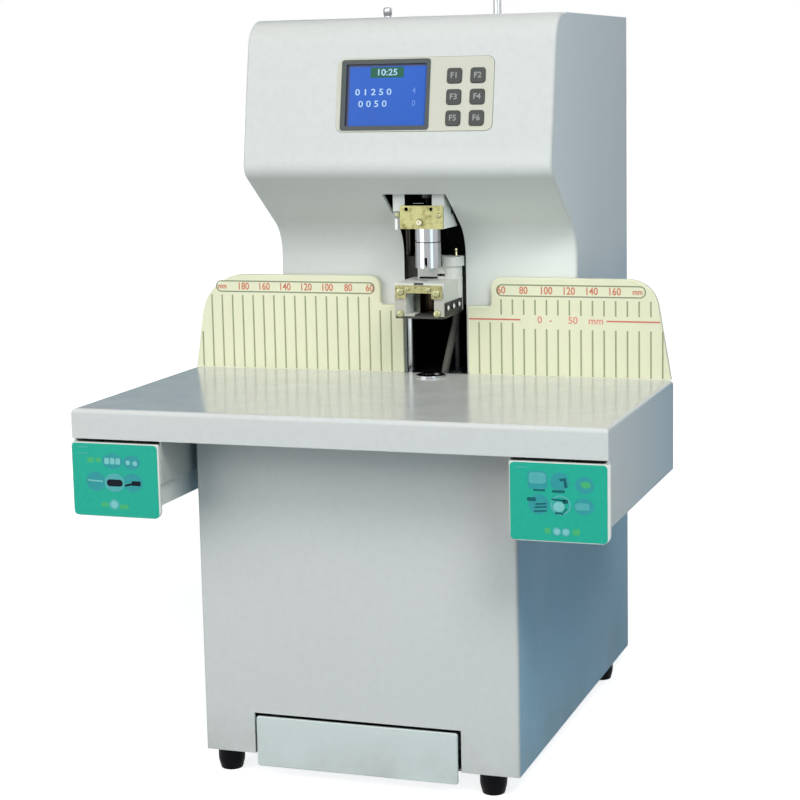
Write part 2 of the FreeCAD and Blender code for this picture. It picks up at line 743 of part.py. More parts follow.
def bed_plate():
    """The steel bed under the table, which carries the die, the columns and the presser drive."""
    bed = block(FRAME_X, (BED_FRONT_Y, BED_BACK_Y), BED_Z)
    through = grown(BED_Z, 1)
    holes = column_holes(through)
    holes.append(post(DIE_RING_NECK_R + SEAT_FIT, DRILL_X, DRILL_Y, through))
    holes.append(post(SCREW_R + RUN_FIT, DRILL_X, PRESSER_SCREW_Y, through))
    slot_y = (HOSE_ROUTE[0][1] - HOSE_SLOT_WIDTH / 2, HOSE_ROUTE[0][1] + HOSE_SLOT_WIDTH / 2)
    holes.append(rounded_slab(HOSE_SLOT_X, slot_y, through, HOSE_SLOT_WIDTH / 2 - 0.1))
    return bed.cut(Part.makeCompound(holes))


def frame_top_plate():
    """The plate that ties the columns and the drill screw at the top."""
    plate = block(FRAME_X, (CROSSBAR_FRONT_Y, TOP_PLATE_BACK_Y), TOP_PLATE_Z)
    through = grown(TOP_PLATE_Z, 1)
    holes = column_holes(through)
    holes.append(post(SCREW_R + RUN_FIT, DRILL_X, DRILL_SCREW_Y, through))
    holes.append(post(GUIDE_R + SEAT_FIT, TUBE_X, TUBE_Y, through))
    return plate.cut(Part.makeCompound(holes))


def guide_columns():
    """Two ground columns that carry both sliding heads."""
    z = (BED_Z[0], TOP_PLATE_Z[1])
    return Part.makeCompound([post(COLUMN_R, x, COLUMN_Y, z) for x in COLUMN_X])


# ================================================================ table and fences
def work_table():
    """A folded sheet table: flat top, short front lip and deep side cheeks."""
    x = (-TABLE_HALF, TABLE_HALF)
    y = (TABLE_FRONT_Y, TABLE_BACK_Y)
    z = (TABLE_TOP_Z - TABLE_CHEEK, TABLE_TOP_Z)
    outer = fillet_where(block(x, y, z), TABLE_EDGE_R, table_edge)
    room_x = grown(x, -TABLE_SHEET)
    room_y = (y[0] + TABLE_SHEET, y[1] + 1)
    room = block(room_x, room_y, (z[0] - 1, z[1] - TABLE_SHEET))
    room = fillet_where(room, TABLE_EDGE_R - TABLE_SHEET, room_edge)
    table = outer.cut(room)
    front_gap = block(grown(x, 1), (y[0] - 1, front_recess_y()), (z[0] - 1, TABLE_TOP_Z - TABLE_LIP))
    die_hole = post(DIE_RING_R + SEAT_FIT, DRILL_X, DRILL_Y, grown((TABLE_UNDER_Z, TABLE_TOP_Z), 1))
    return table.cut(Part.makeCompound([front_gap, die_hole])).removeSplitter()


def table_edge(middle, edge):
    """Front and side edges of the table's top."""
    at_front = abs(middle.y - TABLE_FRONT_Y) < 1e-3
    at_side = abs(abs(middle.x) - TABLE_HALF) < 1e-3
    on_top = abs(middle.z - TABLE_TOP_Z) < 1e-3
    return on_top and (at_front or at_side)


def room_edge(middle, edge):
    """The same edges on the table's inside."""
    at_front = abs(middle.y - TABLE_FRONT_Y - TABLE_SHEET) < 1e-3
    at_side = abs(abs(middle.x) - TABLE_HALF + TABLE_SHEET) < 1e-3
    on_top = abs(middle.z - TABLE_UNDER_Z) < 1e-3
    return on_top and (at_front or at_side)


def front_recess_y():
    """Where the cheeks start below the lip, behind the drawer fronts."""
    return TABLE_FRONT_Y + DRAWER_FRONT_SETBACK + DRAWER_FRONT_THICK + SLIDE_GAP


def fence(side, foot_x, top_x, shoulder_r):
    """A paper stop with a low step beside the tool and a large outer shoulder."""
    low = TABLE_TOP_Z
    high = TABLE_TOP_Z + FENCE_HEIGHT
    step = TABLE_TOP_Z + FENCE_STEP_HEIGHT
    end_x = FENCE_END_X[0] if side < 0 else FENCE_END_X[1]
    step_x = FENCE_STEP_X[0] if side < 0 else FENCE_STEP_X[1]
    outline = [(end_x, low), (end_x, step), (step_x, step), (step_x, high), (top_x, high), (foot_x, low)]
    radii = [0, FENCE_END_R, FENCE_STEP_R, FENCE_CORNER_R, shoulder_r, 0]
    y = (FENCE_Y, FENCE_Y + FENCE_THICK)
    plate = front_prism(outline, radii, y)
    plate = fillet_where(plate, FENCE_EDGE_R, lambda m, e: m.y < y[0] + 1e-3 and m.z > low + 1)
    bosses = []
    for x in FENCE_BOSS_X:
        bosses.append(bar_y(FENCE_BOSS_R, side * x, (y[1], NECK_Y), TABLE_TOP_Z + FENCE_BOSS_HEIGHT))
    return fused([plate] + bosses)


# ================================================================ drilling head
def upper_bracket():
    """The cast guide of the spindle: two front ears, a core, a crossbar on the columns and a shelf."""
    z = UPPER_BRACKET_Z
    x = UPPER_BRACKET_X
    front = block(x, (UPPER_BRACKET_FRONT_Y, CROSSBAR_FRONT_Y), z)
    ear_y = (UPPER_BRACKET_FRONT_Y, UPPER_BRACKET_FRONT_Y + EAR_DEPTH)
    ears = [
        block((x[0], x[0] + EAR_WIDTH), ear_y, (z[0], EAR_TOP_Z)),
        block((x[1] - EAR_WIDTH, x[1]), ear_y, (z[0], EAR_TOP_Z)),
    ]
    core = post(CORE_R, DRILL_X, DRILL_Y, z)
    bar = block(COLUMN_X, (CROSSBAR_FRONT_Y, CROSSBAR_BACK_Y), z)
    neck = block((DRILL_X - CORE_R, DRILL_X + CORE_R), (DRILL_Y, CROSSBAR_FRONT_Y), z)
    bosses = [post(BOSS_R, column, COLUMN_Y, z) for column in COLUMN_X]
    shelf_z = (z[0], z[0] + SHELF_THICK)
    shelf = block(FRAME_X, (CROSSBAR_FRONT_Y, SHELF_BACK_Y), shelf_z)
    casting = fused([front, core, bar, neck, shelf] + ears + bosses)
    through = grown(z, 1)
    holes = column_holes(through)
    holes.append(post(SLEEVE_R + SEAT_FIT, DRILL_X, DRILL_Y, through))
    holes.append(post(SCREW_R + RUN_FIT, DRILL_X, DRILL_SCREW_Y, through))
    return casting.cut(Part.makeCompound(holes))


def bracket_plate():
    """The plated front plate of the upper bracket."""
    y = (UPPER_BRACKET_FRONT_Y - BRACKET_PLATE_THICK, UPPER_BRACKET_FRONT_Y)
    plate_z = (UPPER_BRACKET_Z[0], BRACKET_PLATE_TOP_Z)
    plate = rounded_pane(BRACKET_PLATE_X, y, plate_z, BRACKET_PLATE_R)
    hole_z = BRACKET_PLATE_TOP_Z - BRACKET_PLATE_HOLE_DROP
    holes = [bar_y(BRACKET_PLATE_HOLE_R, x, grown(y, 1), hole_z) for x in BRACKET_PLATE_HOLE_X]
    return plate.cut(Part.makeCompound(holes))


def spindle_sleeve():
    """The chromed guide sleeve of the quill, with a groove and four key slots at its mouth."""
    z = (SLEEVE_BOTTOM_Z, UPPER_BRACKET_Z[1])
    body = sleeve(SLEEVE_R, QUILL_R + RUN_FIT, DRILL_X, DRILL_Y, z)
    groove_z = (SLEEVE_GROOVE_Z, SLEEVE_GROOVE_Z + 2 * SLEEVE_GROOVE)
    groove = sleeve(SLEEVE_R + 1, SLEEVE_R - SLEEVE_GROOVE, DRILL_X, DRILL_Y, groove_z)
    body = body.cut(groove)
    half = SLEEVE_SLOT_WIDTH / 2
    for angle in SLEEVE_SLOT_ANGLES:
        slot_z = (SLEEVE_BOTTOM_Z - 1, SLEEVE_BOTTOM_Z + SLEEVE_SLOT_HEIGHT)
        slot = block((DRILL_X, DRILL_X + SLEEVE_R + 1), (DRILL_Y - half, DRILL_Y + half), slot_z)
        slot.rotate(vec(DRILL_X, DRILL_Y, 0), vec(0, 0, 1), angle)
        body = body.cut(slot)
    return body


def drill_crosshead():
    """The sliding plate that carries quill, motor and nut, with bosses on the columns."""
    z = CROSSHEAD_Z
    boss_z = (z[0], CROSSHEAD_BOSS_TOP_Z)
    deck_x = (DRILL_X - CROSSHEAD_HALF, DRILL_X + CROSSHEAD_HALF)
    deck = block(deck_x, (COLUMN_Y, DRILL_MOTOR_Y), z)
    tail = post(DRILL_MOTOR_R + CROSSHEAD_TAIL_RIM, DRILL_X, DRILL_MOTOR_Y, z)
    nose = post(CROSSHEAD_FRONT_R, DRILL_X, DRILL_Y, z)
    nose_x = (DRILL_X - CROSSHEAD_FRONT_R, DRILL_X + CROSSHEAD_FRONT_R)
    neck = block(nose_x, (DRILL_Y, COLUMN_Y + 1), z)
    bosses = [post(BOSS_R, column, COLUMN_Y, boss_z) for column in COLUMN_X]
    nut = post(NUT_R, DRILL_X, DRILL_SCREW_Y, (CROSSHEAD_NUT_BOTTOM_Z, z[1]))
    head = fused([deck, tail, nose, neck, nut] + bosses)
    through = (CROSSHEAD_NUT_BOTTOM_Z - 1, CROSSHEAD_BOSS_TOP_Z + 1)
    holes = [post(COLUMN_R + RUN_FIT, column, COLUMN_Y, through) for column in COLUMN_X]
    holes.append(post(QUILL_R + SEAT_FIT, DRILL_X, DRILL_Y, through))
    holes.append(post(SCREW_R + RUN_FIT, DRILL_X, DRILL_SCREW_Y, through))
    holes.append(post(MOTOR_SHAFT_R + SLIDE_GAP, DRILL_X, DRILL_MOTOR_Y, through))
    return head.cut(Part.makeCompound(holes))


def quill():
    """The ground tube that slides in the sleeve and holds the spindle."""
    z = (CHUCK_BOTTOM_Z + CHUCK_HEIGHT + SLIDE_GAP, CROSSHEAD_Z[1])
    return sleeve(QUILL_R, SPINDLE_R + RUN_FIT, DRILL_X, DRILL_Y, z)


def spindle_shaft():
    """The hollow spindle with its chuck nose; paper chips rise through its bore."""
    chuck_z = (CHUCK_BOTTOM_Z, CHUCK_BOTTOM_Z + CHUCK_HEIGHT)
    chuck = post(CHUCK_R, DRILL_X, DRILL_Y, chuck_z)
    chuck = fillet_where(chuck, CHUCK_EDGE_R, lambda m, e: m.z < chuck_z[0] + 0.1)
    shaft = post(SPINDLE_R, DRILL_X, DRILL_Y, (CHUCK_BOTTOM_Z, SPINDLE_TOP_Z))
    socket = post(BIT_R + SEAT_FIT, DRILL_X, DRILL_Y, (CHUCK_BOTTOM_Z - 1, CHUCK_BOTTOM_Z + BIT_SOCKET))
    bore = post(BIT_BORE_R, DRILL_X, DRILL_Y, (CHUCK_BOTTOM_Z - 1, SPINDLE_TOP_Z + 1))
    return fused([chuck, shaft]).cut(socket).cut(bore)


def hollow_drill():
    """The hollow paper drill with its bevelled cutting edge."""
    z = (BIT_TIP_Z, CHUCK_BOTTOM_Z + BIT_SOCKET)
    tube = sleeve(BIT_R, BIT_BORE_R, DRILL_X, DRILL_Y, z)
    cone = Part.makeCone(BIT_BORE_R, BIT_R + 0.1, BIT_BEVEL, vec(DRILL_X, DRILL_Y, BIT_TIP_Z))
    edge = post(BIT_R + 1, DRILL_X, DRILL_Y, (BIT_TIP_Z, BIT_TIP_Z + BIT_BEVEL)).cut(cone)
    return tube.cut(edge)


def belt_pulley(radius, y, bore):
    """A flanged belt pulley."""
    z = PULLEY_Z
    drum = post(radius, DRILL_X, y, z)
    rims = [
        post(radius + PULLEY_RIM_R, DRILL_X, y, (z[0], z[0] + PULLEY_RIM)),
        post(radius + PULLEY_RIM_R, DRILL_X, y, (z[1] - PULLEY_RIM, z[1])),
    ]
    wheel = fused([drum] + rims)
    return wheel.cut(post(bore, DRILL_X, y, grown(z, 1)))


def spindle_pulley():
    return belt_pulley(SPINDLE_PULLEY_R, DRILL_Y, SPINDLE_R + SEAT_FIT)


def motor_pulley():
    """The motor's pulley on its shaft, which reaches down into the motor."""
    wheel = belt_pulley(MOTOR_PULLEY_R, DRILL_MOTOR_Y, MOTOR_SHAFT_R - 1)
    z = (CROSSHEAD_Z[0] - MOTOR_BORE_DEPTH + SLIDE_GAP, PULLEY_Z[1])
    return fused([wheel, post(MOTOR_SHAFT_R, DRILL_X, DRILL_MOTOR_Y, z)])


def belt_loop(spindle_r, motor_r, z):
    """The solid inside a belt line round both pulleys."""
    span = DRILL_MOTOR_Y - DRILL_Y
    lean = math.asin((spindle_r - motor_r) / span)
    side = math.cos(lean)
    rise = math.sin(lean)
    web = [
        (DRILL_X - spindle_r * side, DRILL_Y + spindle_r * rise),
        (DRILL_X + spindle_r * side, DRILL_Y + spindle_r * rise),
        (DRILL_X + motor_r * side, DRILL_MOTOR_Y + motor_r * rise),
        (DRILL_X - motor_r * side, DRILL_MOTOR_Y + motor_r * rise),
    ]
    ends = [post(spindle_r, DRILL_X, DRILL_Y, z), post(motor_r, DRILL_X, DRILL_MOTOR_Y, z)]
    return fused([flat_prism(web, [0] * 4, z)] + ends)


def drive_belt():
    """The flat belt between motor and spindle."""
    inner = (SPINDLE_PULLEY_R + BELT_GAP, MOTOR_PULLEY_R + BELT_GAP)
    outer = (inner[0] + BELT_THICK, inner[1] + BELT_THICK)
    return belt_loop(outer[0], outer[1], BELT_Z).cut(belt_loop(inner[0], inner[1], grown(BELT_Z, 1)))


def drill_motor():
    """The drill motor: a ribbed can between two end bells, hung under the crosshead."""
    z = (CROSSHEAD_Z[0] - DRILL_MOTOR_LENGTH, CROSSHEAD_Z[0])
    bell = DRILL_MOTOR_BELL
    can = post(DRILL_MOTOR_R - DRILL_MOTOR_WAIST, DRILL_X, DRILL_MOTOR_Y, z)
    bells = [
        post(DRILL_MOTOR_R, DRILL_X, DRILL_MOTOR_Y, (z[0], z[0] + bell)),
        post(DRILL_MOTOR_R, DRILL_X, DRILL_MOTOR_Y, (z[1] - bell, z[1])),
    ]
    motor = fused([can] + bells)
    bore = post(MOTOR_SHAFT_R + SLIDE_GAP, DRILL_X, DRILL_MOTOR_Y, (z[1] - MOTOR_BORE_DEPTH, z[1] + 1))
    return motor.cut(bore)


def feed_motor(y, top_z):
    """A square stepping motor with its face upwards and a bore for the screw's end."""
    half = FEED_MOTOR_SIDE / 2
    z = (top_z - FEED_MOTOR_HEIGHT, top_z)
    x = (DRILL_X - half, DRILL_X + half)
    body = rounded_slab(x, (y - half, y + half), z, FEED_MOTOR_EDGE_R)
    waist_z = grown(z, -FEED_MOTOR_CAP)
    span = (y - half, y + half)
    waist = rounded_slab(grown(x, 1), grown(span, 1), waist_z, FEED_MOTOR_EDGE_R)
    core_x = grown(x, -FEED_MOTOR_WAIST)
    core_y = grown(span, -FEED_MOTOR_WAIST)
    waist = waist.cut(rounded_slab(core_x, core_y, waist_z, FEED_MOTOR_EDGE_R))
    return body.cut(waist).cut(post(SCREW_R + SLIDE_GAP, DRILL_X, y, (top_z - SCREW_SEAT, top_z + 1)))


def drill_feed_motor():
    return feed_motor(DRILL_SCREW_Y, UPPER_BRACKET_Z[0])


def drill_feed_screw():
    """The lead screw that lowers the drilling head."""
    z = (UPPER_BRACKET_Z[0] - SCREW_SEAT + SLIDE_GAP, TOP_PLATE_Z[1] - 1)
    return post(SCREW_R, DRILL_X, DRILL_SCREW_Y, z)


# ================================================================ presser head
def presser_block():
    """The cast presser: a windowed front block, a back wall, a capped post and a bar on the columns."""
    z0 = PRESSER_BOTTOM_Z + PRESSER_FOOT_THICK
    front = block(PRESSER_X, (PRESSER_FRONT_Y, PRESSER_WALL_FRONT_Y), (z0, PRESSER_TOP_Z))
    wall_x = (PRESSER_X[0] + PRESSER_WALL_INSET, PRESSER_POST_X)
    wall = block(wall_x, (PRESSER_WALL_FRONT_Y, CROSSBAR_FRONT_Y), (z0, PRESSER_WALL_TOP_Z))
    back = block(PRESSER_X, (PRESSER_WALL_FRONT_Y, CROSSBAR_FRONT_Y), (z0, PRESSER_TOP_Z))
    pillar_z = (TERMINAL_Z[1] + SLIDE_GAP, PRESSER_WALL_TOP_Z)
    pillar = post(PRESSER_POST_R, PRESSER_POST_X, PRESSER_POST_Y, pillar_z)
    cap = post(PRESSER_CAP_R, PRESSER_POST_X, PRESSER_POST_Y, (PRESSER_CAP_Z, PRESSER_WALL_TOP_Z))
    bar = block(COLUMN_X, (CROSSBAR_FRONT_Y, CROSSBAR_BACK_Y), PRESSER_BAR_Z)
    bosses = [post(BOSS_R, column, COLUMN_Y, PRESSER_BAR_Z) for column in COLUMN_X]
    arm_z = (PRESSER_BAR_Z[0], PRESSER_NUT_TOP_Z)
    arm = block((DRILL_X - NUT_R, DRILL_X + NUT_R), (CROSSBAR_BACK_Y, PRESSER_SCREW_Y), arm_z)
    nut = post(NUT_R, DRILL_X, PRESSER_SCREW_Y, arm_z)
    body = fused([front, back, wall, pillar, cap, bar, arm, nut] + bosses)
    through = (z0 - 1, PRESSER_WALL_TOP_Z + 1)
    holes = [post(COLUMN_R + RUN_FIT, column, COLUMN_Y, through) for column in COLUMN_X]
    holes.append(post(SCREW_R + RUN_FIT, DRILL_X, PRESSER_SCREW_Y, through))
    holes.append(post(DIE_CUP_R + SEAT_FIT, DRILL_X, DRILL_Y, (z0 - 1, DIE_CUP_TOP_Z)))
    holes.append(post(QUILL_R + SLIDE_GAP, DRILL_X, DRILL_Y, through))
    window_x = (DRILL_X - WINDOW_HALF, DRILL_X + WINDOW_HALF)
    holes.append(block(window_x, (PRESSER_FRONT_Y - 1, DRILL_Y), WINDOW_Z))
    return body.cut(Part.makeCompound(holes)).cut(Part.makeCompound(presser_reliefs()))


def presser_reliefs():
    """Two narrow slits at the foot of the back wall and a pocket in the front edge."""
    slit_y = (PRESSER_WALL_FRONT_Y - 1, PRESSER_WALL_FRONT_Y + PRESSER_SLIT_DEPTH)
    low_slit = block((PRESSER_SLIT_X[0], PRESSER_SLIT_STEP_X), slit_y, PRESSER_SLIT_Z)
    high_slit = block((PRESSER_SLIT_STEP_X, PRESSER_SLIT_X[1]), slit_y, PRESSER_SLIT_HIGH_Z)
    pocket_y = (PRESSER_FRONT_Y - 1, PRESSER_FRONT_Y + PRESSER_POCKET_DEPTH)
    pocket = block(PRESSER_POCKET_X, pocket_y, (STRIP_Z[1], PRESSER_TOP_Z + 1))
    return [low_slit, high_slit, pocket]


def presser_foot():
    """The flat plate that meets the paper, with the hole for the drill."""
    z = (PRESSER_BOTTOM_Z, PRESSER_BOTTOM_Z + PRESSER_FOOT_THICK)
    plate = rounded_slab(PRESSER_X, (PRESSER_FRONT_Y, CROSSBAR_FRONT_Y), z, PRESSER_FOOT_R)
    return plate.cut(post(FOOT_HOLE_R, DRILL_X, DRILL_Y, grown(z, 1)))


def presser_strip():
    """The plated strip over the presser's window, with a screw tab at each end."""
    y = (PRESSER_FRONT_Y - STRIP_THICK, PRESSER_FRONT_Y)
    x = grown(PRESSER_X, -1)
    tabs = [(x[0], x[0] + STRIP_TAB_WIDTH), (x[1] - STRIP_TAB_WIDTH, x[1])]
    bar = rounded_pane(x, y, STRIP_Z, STRIP_R)
    ends = [rounded_pane(tab, y, (STRIP_TAB_Z, STRIP_Z[1]), STRIP_R) for tab in tabs]
    return fused([bar] + ends)


def upper_die():
    """The heated riveting die: a bright cup round the drill, cut open at the right of the window."""
    z = (PRESSER_BOTTOM_Z + PRESSER_FOOT_THICK, DIE_CUP_TOP_Z)
    cup = sleeve(DIE_CUP_R, DIE_CUP_BORE_R, DRILL_X, DRILL_Y, z)
    opening_x = (DIE_CUP_OPEN_X, DRILL_X + DIE_CUP_R + 1)
    return cup.cut(block(opening_x, (DRILL_Y - DIE_CUP_R - 1, DRILL_Y), WINDOW_Z))


def heater_terminals():
    """The heater's terminal block with three ceramic insulators, on the presser's right side."""
    x = (PRESSER_X[1], PRESSER_X[1] + TERMINAL_X)
    pieces = [block(x, TERMINAL_Y, TERMINAL_Z)]
    for y in INSULATOR_Y:
        pieces.append(bar_x(INSULATOR_R, (x[1], x[1] + INSULATOR_LENGTH), y, INSULATOR_Z))
    return Part.makeCompound(pieces)


def chip_hose():
    """The chip hose: straight runs joined by tangent arcs, from the presser into the chute."""
    points = [vec(*place) for place in HOSE_ROUTE]
    edges = []
    last = points[0]
    for i in range(1, len(points) - 1):
        back = points[i - 1] - points[i]
        ahead = points[i + 1] - points[i]
        reach = HOSE_BEND_SHARE * min(back.Length, ahead.Length)
        back.normalize()
        ahead.normalize()
        half = back.getAngle(ahead) / 2
        radius = reach * math.tan(half)
        inward = (back + ahead).normalize()
        start = points[i] + back * reach
        middle = points[i] + inward * (radius / math.sin(half) - radius)
        end = points[i] + ahead * reach
        print("hose bend radius %.1f mm" % radius)
        edges.append(Part.LineSegment(last, start).toShape())
        edges.append(Part.Arc(start, middle, end).toShape())
        last = end
    edges.append(Part.LineSegment(last, points[-1]).toShape())
    path = Part.Wire(edges)
    section = Part.Wire(Part.makeCircle(HOSE_R, points[0], points[1] - points[0]))
    tube = path.makePipeShell([section], True, False)
    full = path.Length * math.pi * HOSE_R ** 2
    print("hose length %.1f, volume ratio %.4f" % (path.Length, tube.Volume / full))
    return tube


def chip_chute():
    """The sheet chute under the bed that leads the paper chips to the tray."""
    top = BED_Z[0]
    outline = [
        (CHUTE_X[0], top),
        (CHUTE_X[1], top),
        (CHUTE_X[1], CHUTE_SHOULDER_Z[1]),
        (CHUTE_THROAT_X[1], CHUTE_SHOULDER_Z[0]),
        (CHUTE_THROAT_X[1], CHUTE_OUTLET_Z),
        (CHUTE_THROAT_X[0], CHUTE_OUTLET_Z),
    ]
    duct = front_prism(outline, [0] * 6, CHUTE_Y)
    t = CHUTE_SHEET
    room = inset(outline, [-1, t, t, t, -1, t])
    return duct.cut(front_prism(room, [0] * 6, grown(CHUTE_Y, -t)))


def presser_motor():
    return feed_motor(PRESSER_SCREW_Y, BED_Z[0])


def presser_feed_screw():
    """The lead screw that lowers the presser."""
    z = (BED_Z[0] - SCREW_SEAT + SLIDE_GAP, PRESSER_SCREW_TOP_Z)
    return post(SCREW_R, DRILL_X, PRESSER_SCREW_Y, z)


# ================================================================ lower die
def die_ring():
    """The hardened ring let into the table round the lower die."""
    rim = post(DIE_RING_R, DRILL_X, DRILL_Y, (TABLE_UNDER_Z, TABLE_TOP_Z + DIE_RING_PROUD))
    rim = fillet_where(rim, DIE_RING_CHAMFER / 2, lambda m, e: m.z > TABLE_TOP_Z)
    neck = post(DIE_RING_NECK_R, DRILL_X, DRILL_Y, BED_Z)
    ring = fused([rim, neck])
    bore = LOWER_DIE_R + SLIDE_GAP
    ring = ring.cut(post(bore, DRILL_X, DRILL_Y, (BED_Z[0] - 1, TABLE_TOP_Z + DIE_RING_PROUD + 1)))
    top = TABLE_TOP_Z + DIE_RING_PROUD
    sink_z = top - DIE_RING_CHAMFER
    sink = Part.makeCone(bore, bore + DIE_RING_CHAMFER, DIE_RING_CHAMFER, vec(DRILL_X, DRILL_Y, sink_z))
    return ring.cut(sink)


def lower_die():
    """The heated lower die, a hollow punch that rises through the ring."""
    top = TABLE_TOP_Z - LOWER_DIE_LIFT
    return sleeve(LOWER_DIE_R, LOWER_DIE_BORE_R, DRILL_X, DRILL_Y, (top - LOWER_DIE_LENGTH, top))


def die_actuator():
    """The coil housing under the bed that lifts the lower die."""
    z = (BED_Z[0] - ACTUATOR_HEIGHT, BED_Z[0])
    body = sleeve(ACTUATOR_R, LOWER_DIE_R + SLIDE_GAP, DRILL_X, DRILL_Y, z)
    rim = 2 * math.pi * (ACTUATOR_R - 1)
    return fillet_where(body, ACTUATOR_EDGE_R, lambda m, e: m.z < z[0] + 0.1 and e.Length > rim)


# ================================================================ tube feed
def roller_y():
    return TUBE_Y - TUBE_R - RUN_FIT - ROLLER_R


def tube_guide():
    """The upright guide pipe for the nylon tube."""
    return sleeve(GUIDE_R, GUIDE_BORE_R, TUBE_X, TUBE_Y, (GUIDE_BOTTOM_Z, GUIDE_TOP_Z))


def nylon_tube():
    """A stick of nylon rivet tube standing in the guide."""
    return sleeve(TUBE_R, TUBE_R - TUBE_WALL, TUBE_X, TUBE_Y, (TUBE_BOTTOM_Z, TUBE_TOP_Z))


def feed_roller():
    """The driven roller that pushes the tube down, on its shaft."""
    wheel = bar_x(ROLLER_R, ROLLER_X, roller_y(), ROLLER_Z)
    shaft_x = (ROLLER_X[0], FRAME_X[1] + FRAME_PLATE + ROLLER_SHAFT_SEAT)
    shaft = bar_x(ROLLER_SHAFT_R, shaft_x, roller_y(), ROLLER_Z)
    return fused([wheel, shaft])


def tube_feed_motor():
    """The small geared motor of the tube feed, on the outside of the right frame plate."""
    half = TUBE_MOTOR_SIDE / 2
    x = (FRAME_X[1] + FRAME_PLATE, FRAME_X[1] + FRAME_PLATE + TUBE_MOTOR_LENGTH)
    outline = rectangle((roller_y() - half, roller_y() + half), (ROLLER_Z - half, ROLLER_Z + half))
    body = side_prism(outline, [TUBE_MOTOR_EDGE_R] * 4, x)
    seat_x = (x[0] - 1, x[0] + ROLLER_SHAFT_SEAT + 1)
    return body.cut(bar_x(ROLLER_SHAFT_R + SLIDE_GAP, seat_x, roller_y(), ROLLER_Z))


# ================================================================ control panel
def control_panel():
    """The panel plate let into the leaning face, with openings for the display and six keys."""
    plate = rounded_slab(PANEL_X, PANEL_UP, (-COVER_WALL, PANEL_PROUD), PANEL_R)
    holes = [rounded_slab(grown(BEZEL_X, SEAT_FIT), grown(BEZEL_UP, SEAT_FIT), PANEL_CUT, BEZEL_R)]
    half = KEY_SIZE / 2 + SLIDE_GAP
    for up in KEY_UP:
        for x in KEY_X:
            hole_x = (x - half, x + half)
            hole_up = (up - half, up + half)
            holes.append(rounded_slab(hole_x, hole_up, PANEL_CUT, KEY_R + SLIDE_GAP))
    plate = plate.cut(Part.makeCompound(holes))
    plate.Placement = ON_FACE
    return plate


def display_bezel():
    """The grey frame round the display."""
    frame = rounded_slab(BEZEL_X, BEZEL_UP, (-COVER_WALL, BEZEL_PROUD), BEZEL_R)
    frame = frame.cut(rounded_slab(GLASS_X, GLASS_UP, PANEL_CUT, GLASS_R))
    frame.Placement = ON_FACE
    return frame


def display_glass():
    """The display behind its bezel."""
    x = grown(GLASS_X, -SEAT_FIT)
    pane = rounded_slab(x, grown(GLASS_UP, -SEAT_FIT), (-COVER_WALL, -GLASS_RECESS), GLASS_R)
    pane.Placement = ON_FACE
    return pane


def key_cap(x, up):
    half = KEY_SIZE / 2
    cap = rounded_slab((x - half, x + half), (up - half, up + half), (-KEY_BACK, KEY_PROUD), KEY_R)
    cap = fillet_where(cap, KEY_EDGE_R, lambda m, e: m.z > KEY_PROUD - 0.01)
    cap.Placement = ON_FACE
    return cap


# ================================================================ drawers
def drawer_rails():
    """Two hung rails for each drawer: one by the body, one on the table's cheek."""
    rails = []
    y = (front_recess_y(), RAIL_BACK_Y)
    ledge_z = (RAIL_LEDGE_Z, RAIL_LEDGE_Z + RAIL_SHEET)
    cheek = TABLE_HALF - TABLE_SHEET
    for side in (-1, 1):
        inner_web = (RAIL_INNER_X, RAIL_INNER_X + RAIL_SHEET)
        inner = block(mirrored(inner_web, side), y, (RAIL_BOTTOM_Z, TABLE_UNDER_Z))
        inner_ledge = block(mirrored((inner_web[1], inner_web[1] + RAIL_LEDGE), side), y, ledge_z)
        rails.append(fused([inner, inner_ledge]))
        outer_web = (cheek - RAIL_SHEET, cheek)
        outer = block(mirrored(outer_web, side), y, (RAIL_BOTTOM_Z, RAIL_BOTTOM_Z + RAIL_HEIGHT))
        outer_ledge = block(mirrored((outer_web[0] - RAIL_LEDGE, outer_web[0]), side), y, ledge_z)
        rails.append(fused([outer, outer_ledge]))
    return Part.makeCompound(rails)


def drawer_box_x():
    """Outside faces of a drawer's side walls, on the right-hand side."""
    inner = RAIL_INNER_X + RAIL_SHEET + RAIL_LEDGE + SLIDE_GAP
    outer = TABLE_HALF - TABLE_SHEET - RAIL_SHEET - RAIL_LEDGE - SLIDE_GAP
    return (inner, outer)


def drawer(side):
    """A folded drawer with flanges that ride on the rails and a front with rounded corners."""
    face_y = TABLE_FRONT_Y + DRAWER_FRONT_SETBACK
    front_y = (face_y, face_y + DRAWER_FRONT_THICK)
    outline = rectangle(mirrored(DRAWER_FRONT_X, side), DRAWER_FRONT_Z)
    radii = [DRAWER_FRONT_BOTTOM_R] * 2 + [DRAWER_FRONT_TOP_R] * 2
    front = front_prism(outline, radii, front_y)
    walls = drawer_box_x()
    t = DRAWER_SHEET
    y = (front_y[1], DRAWER_BACK_Y)
    flange_z = (RAIL_LEDGE_Z + RAIL_SHEET + SLIDE_GAP, RAIL_LEDGE_Z + RAIL_SHEET + SLIDE_GAP + t)
    z = (DRAWER_BOTTOM_Z, flange_z[1])
    box = block(mirrored(walls, side), y, z)
    room = block(mirrored(grown(walls, -t), side), (y[0] + t, y[1] - t), (z[0] + t, z[1] + 1))
    flange_inner = block(mirrored((walls[0] - DRAWER_FLANGE, walls[0] + t), side), y, flange_z)
    flange_outer = block(mirrored((walls[1] - t, walls[1] + DRAWER_FLANGE), side), y, flange_z)
    return fused([front, box.cut(room), flange_inner, flange_outer])


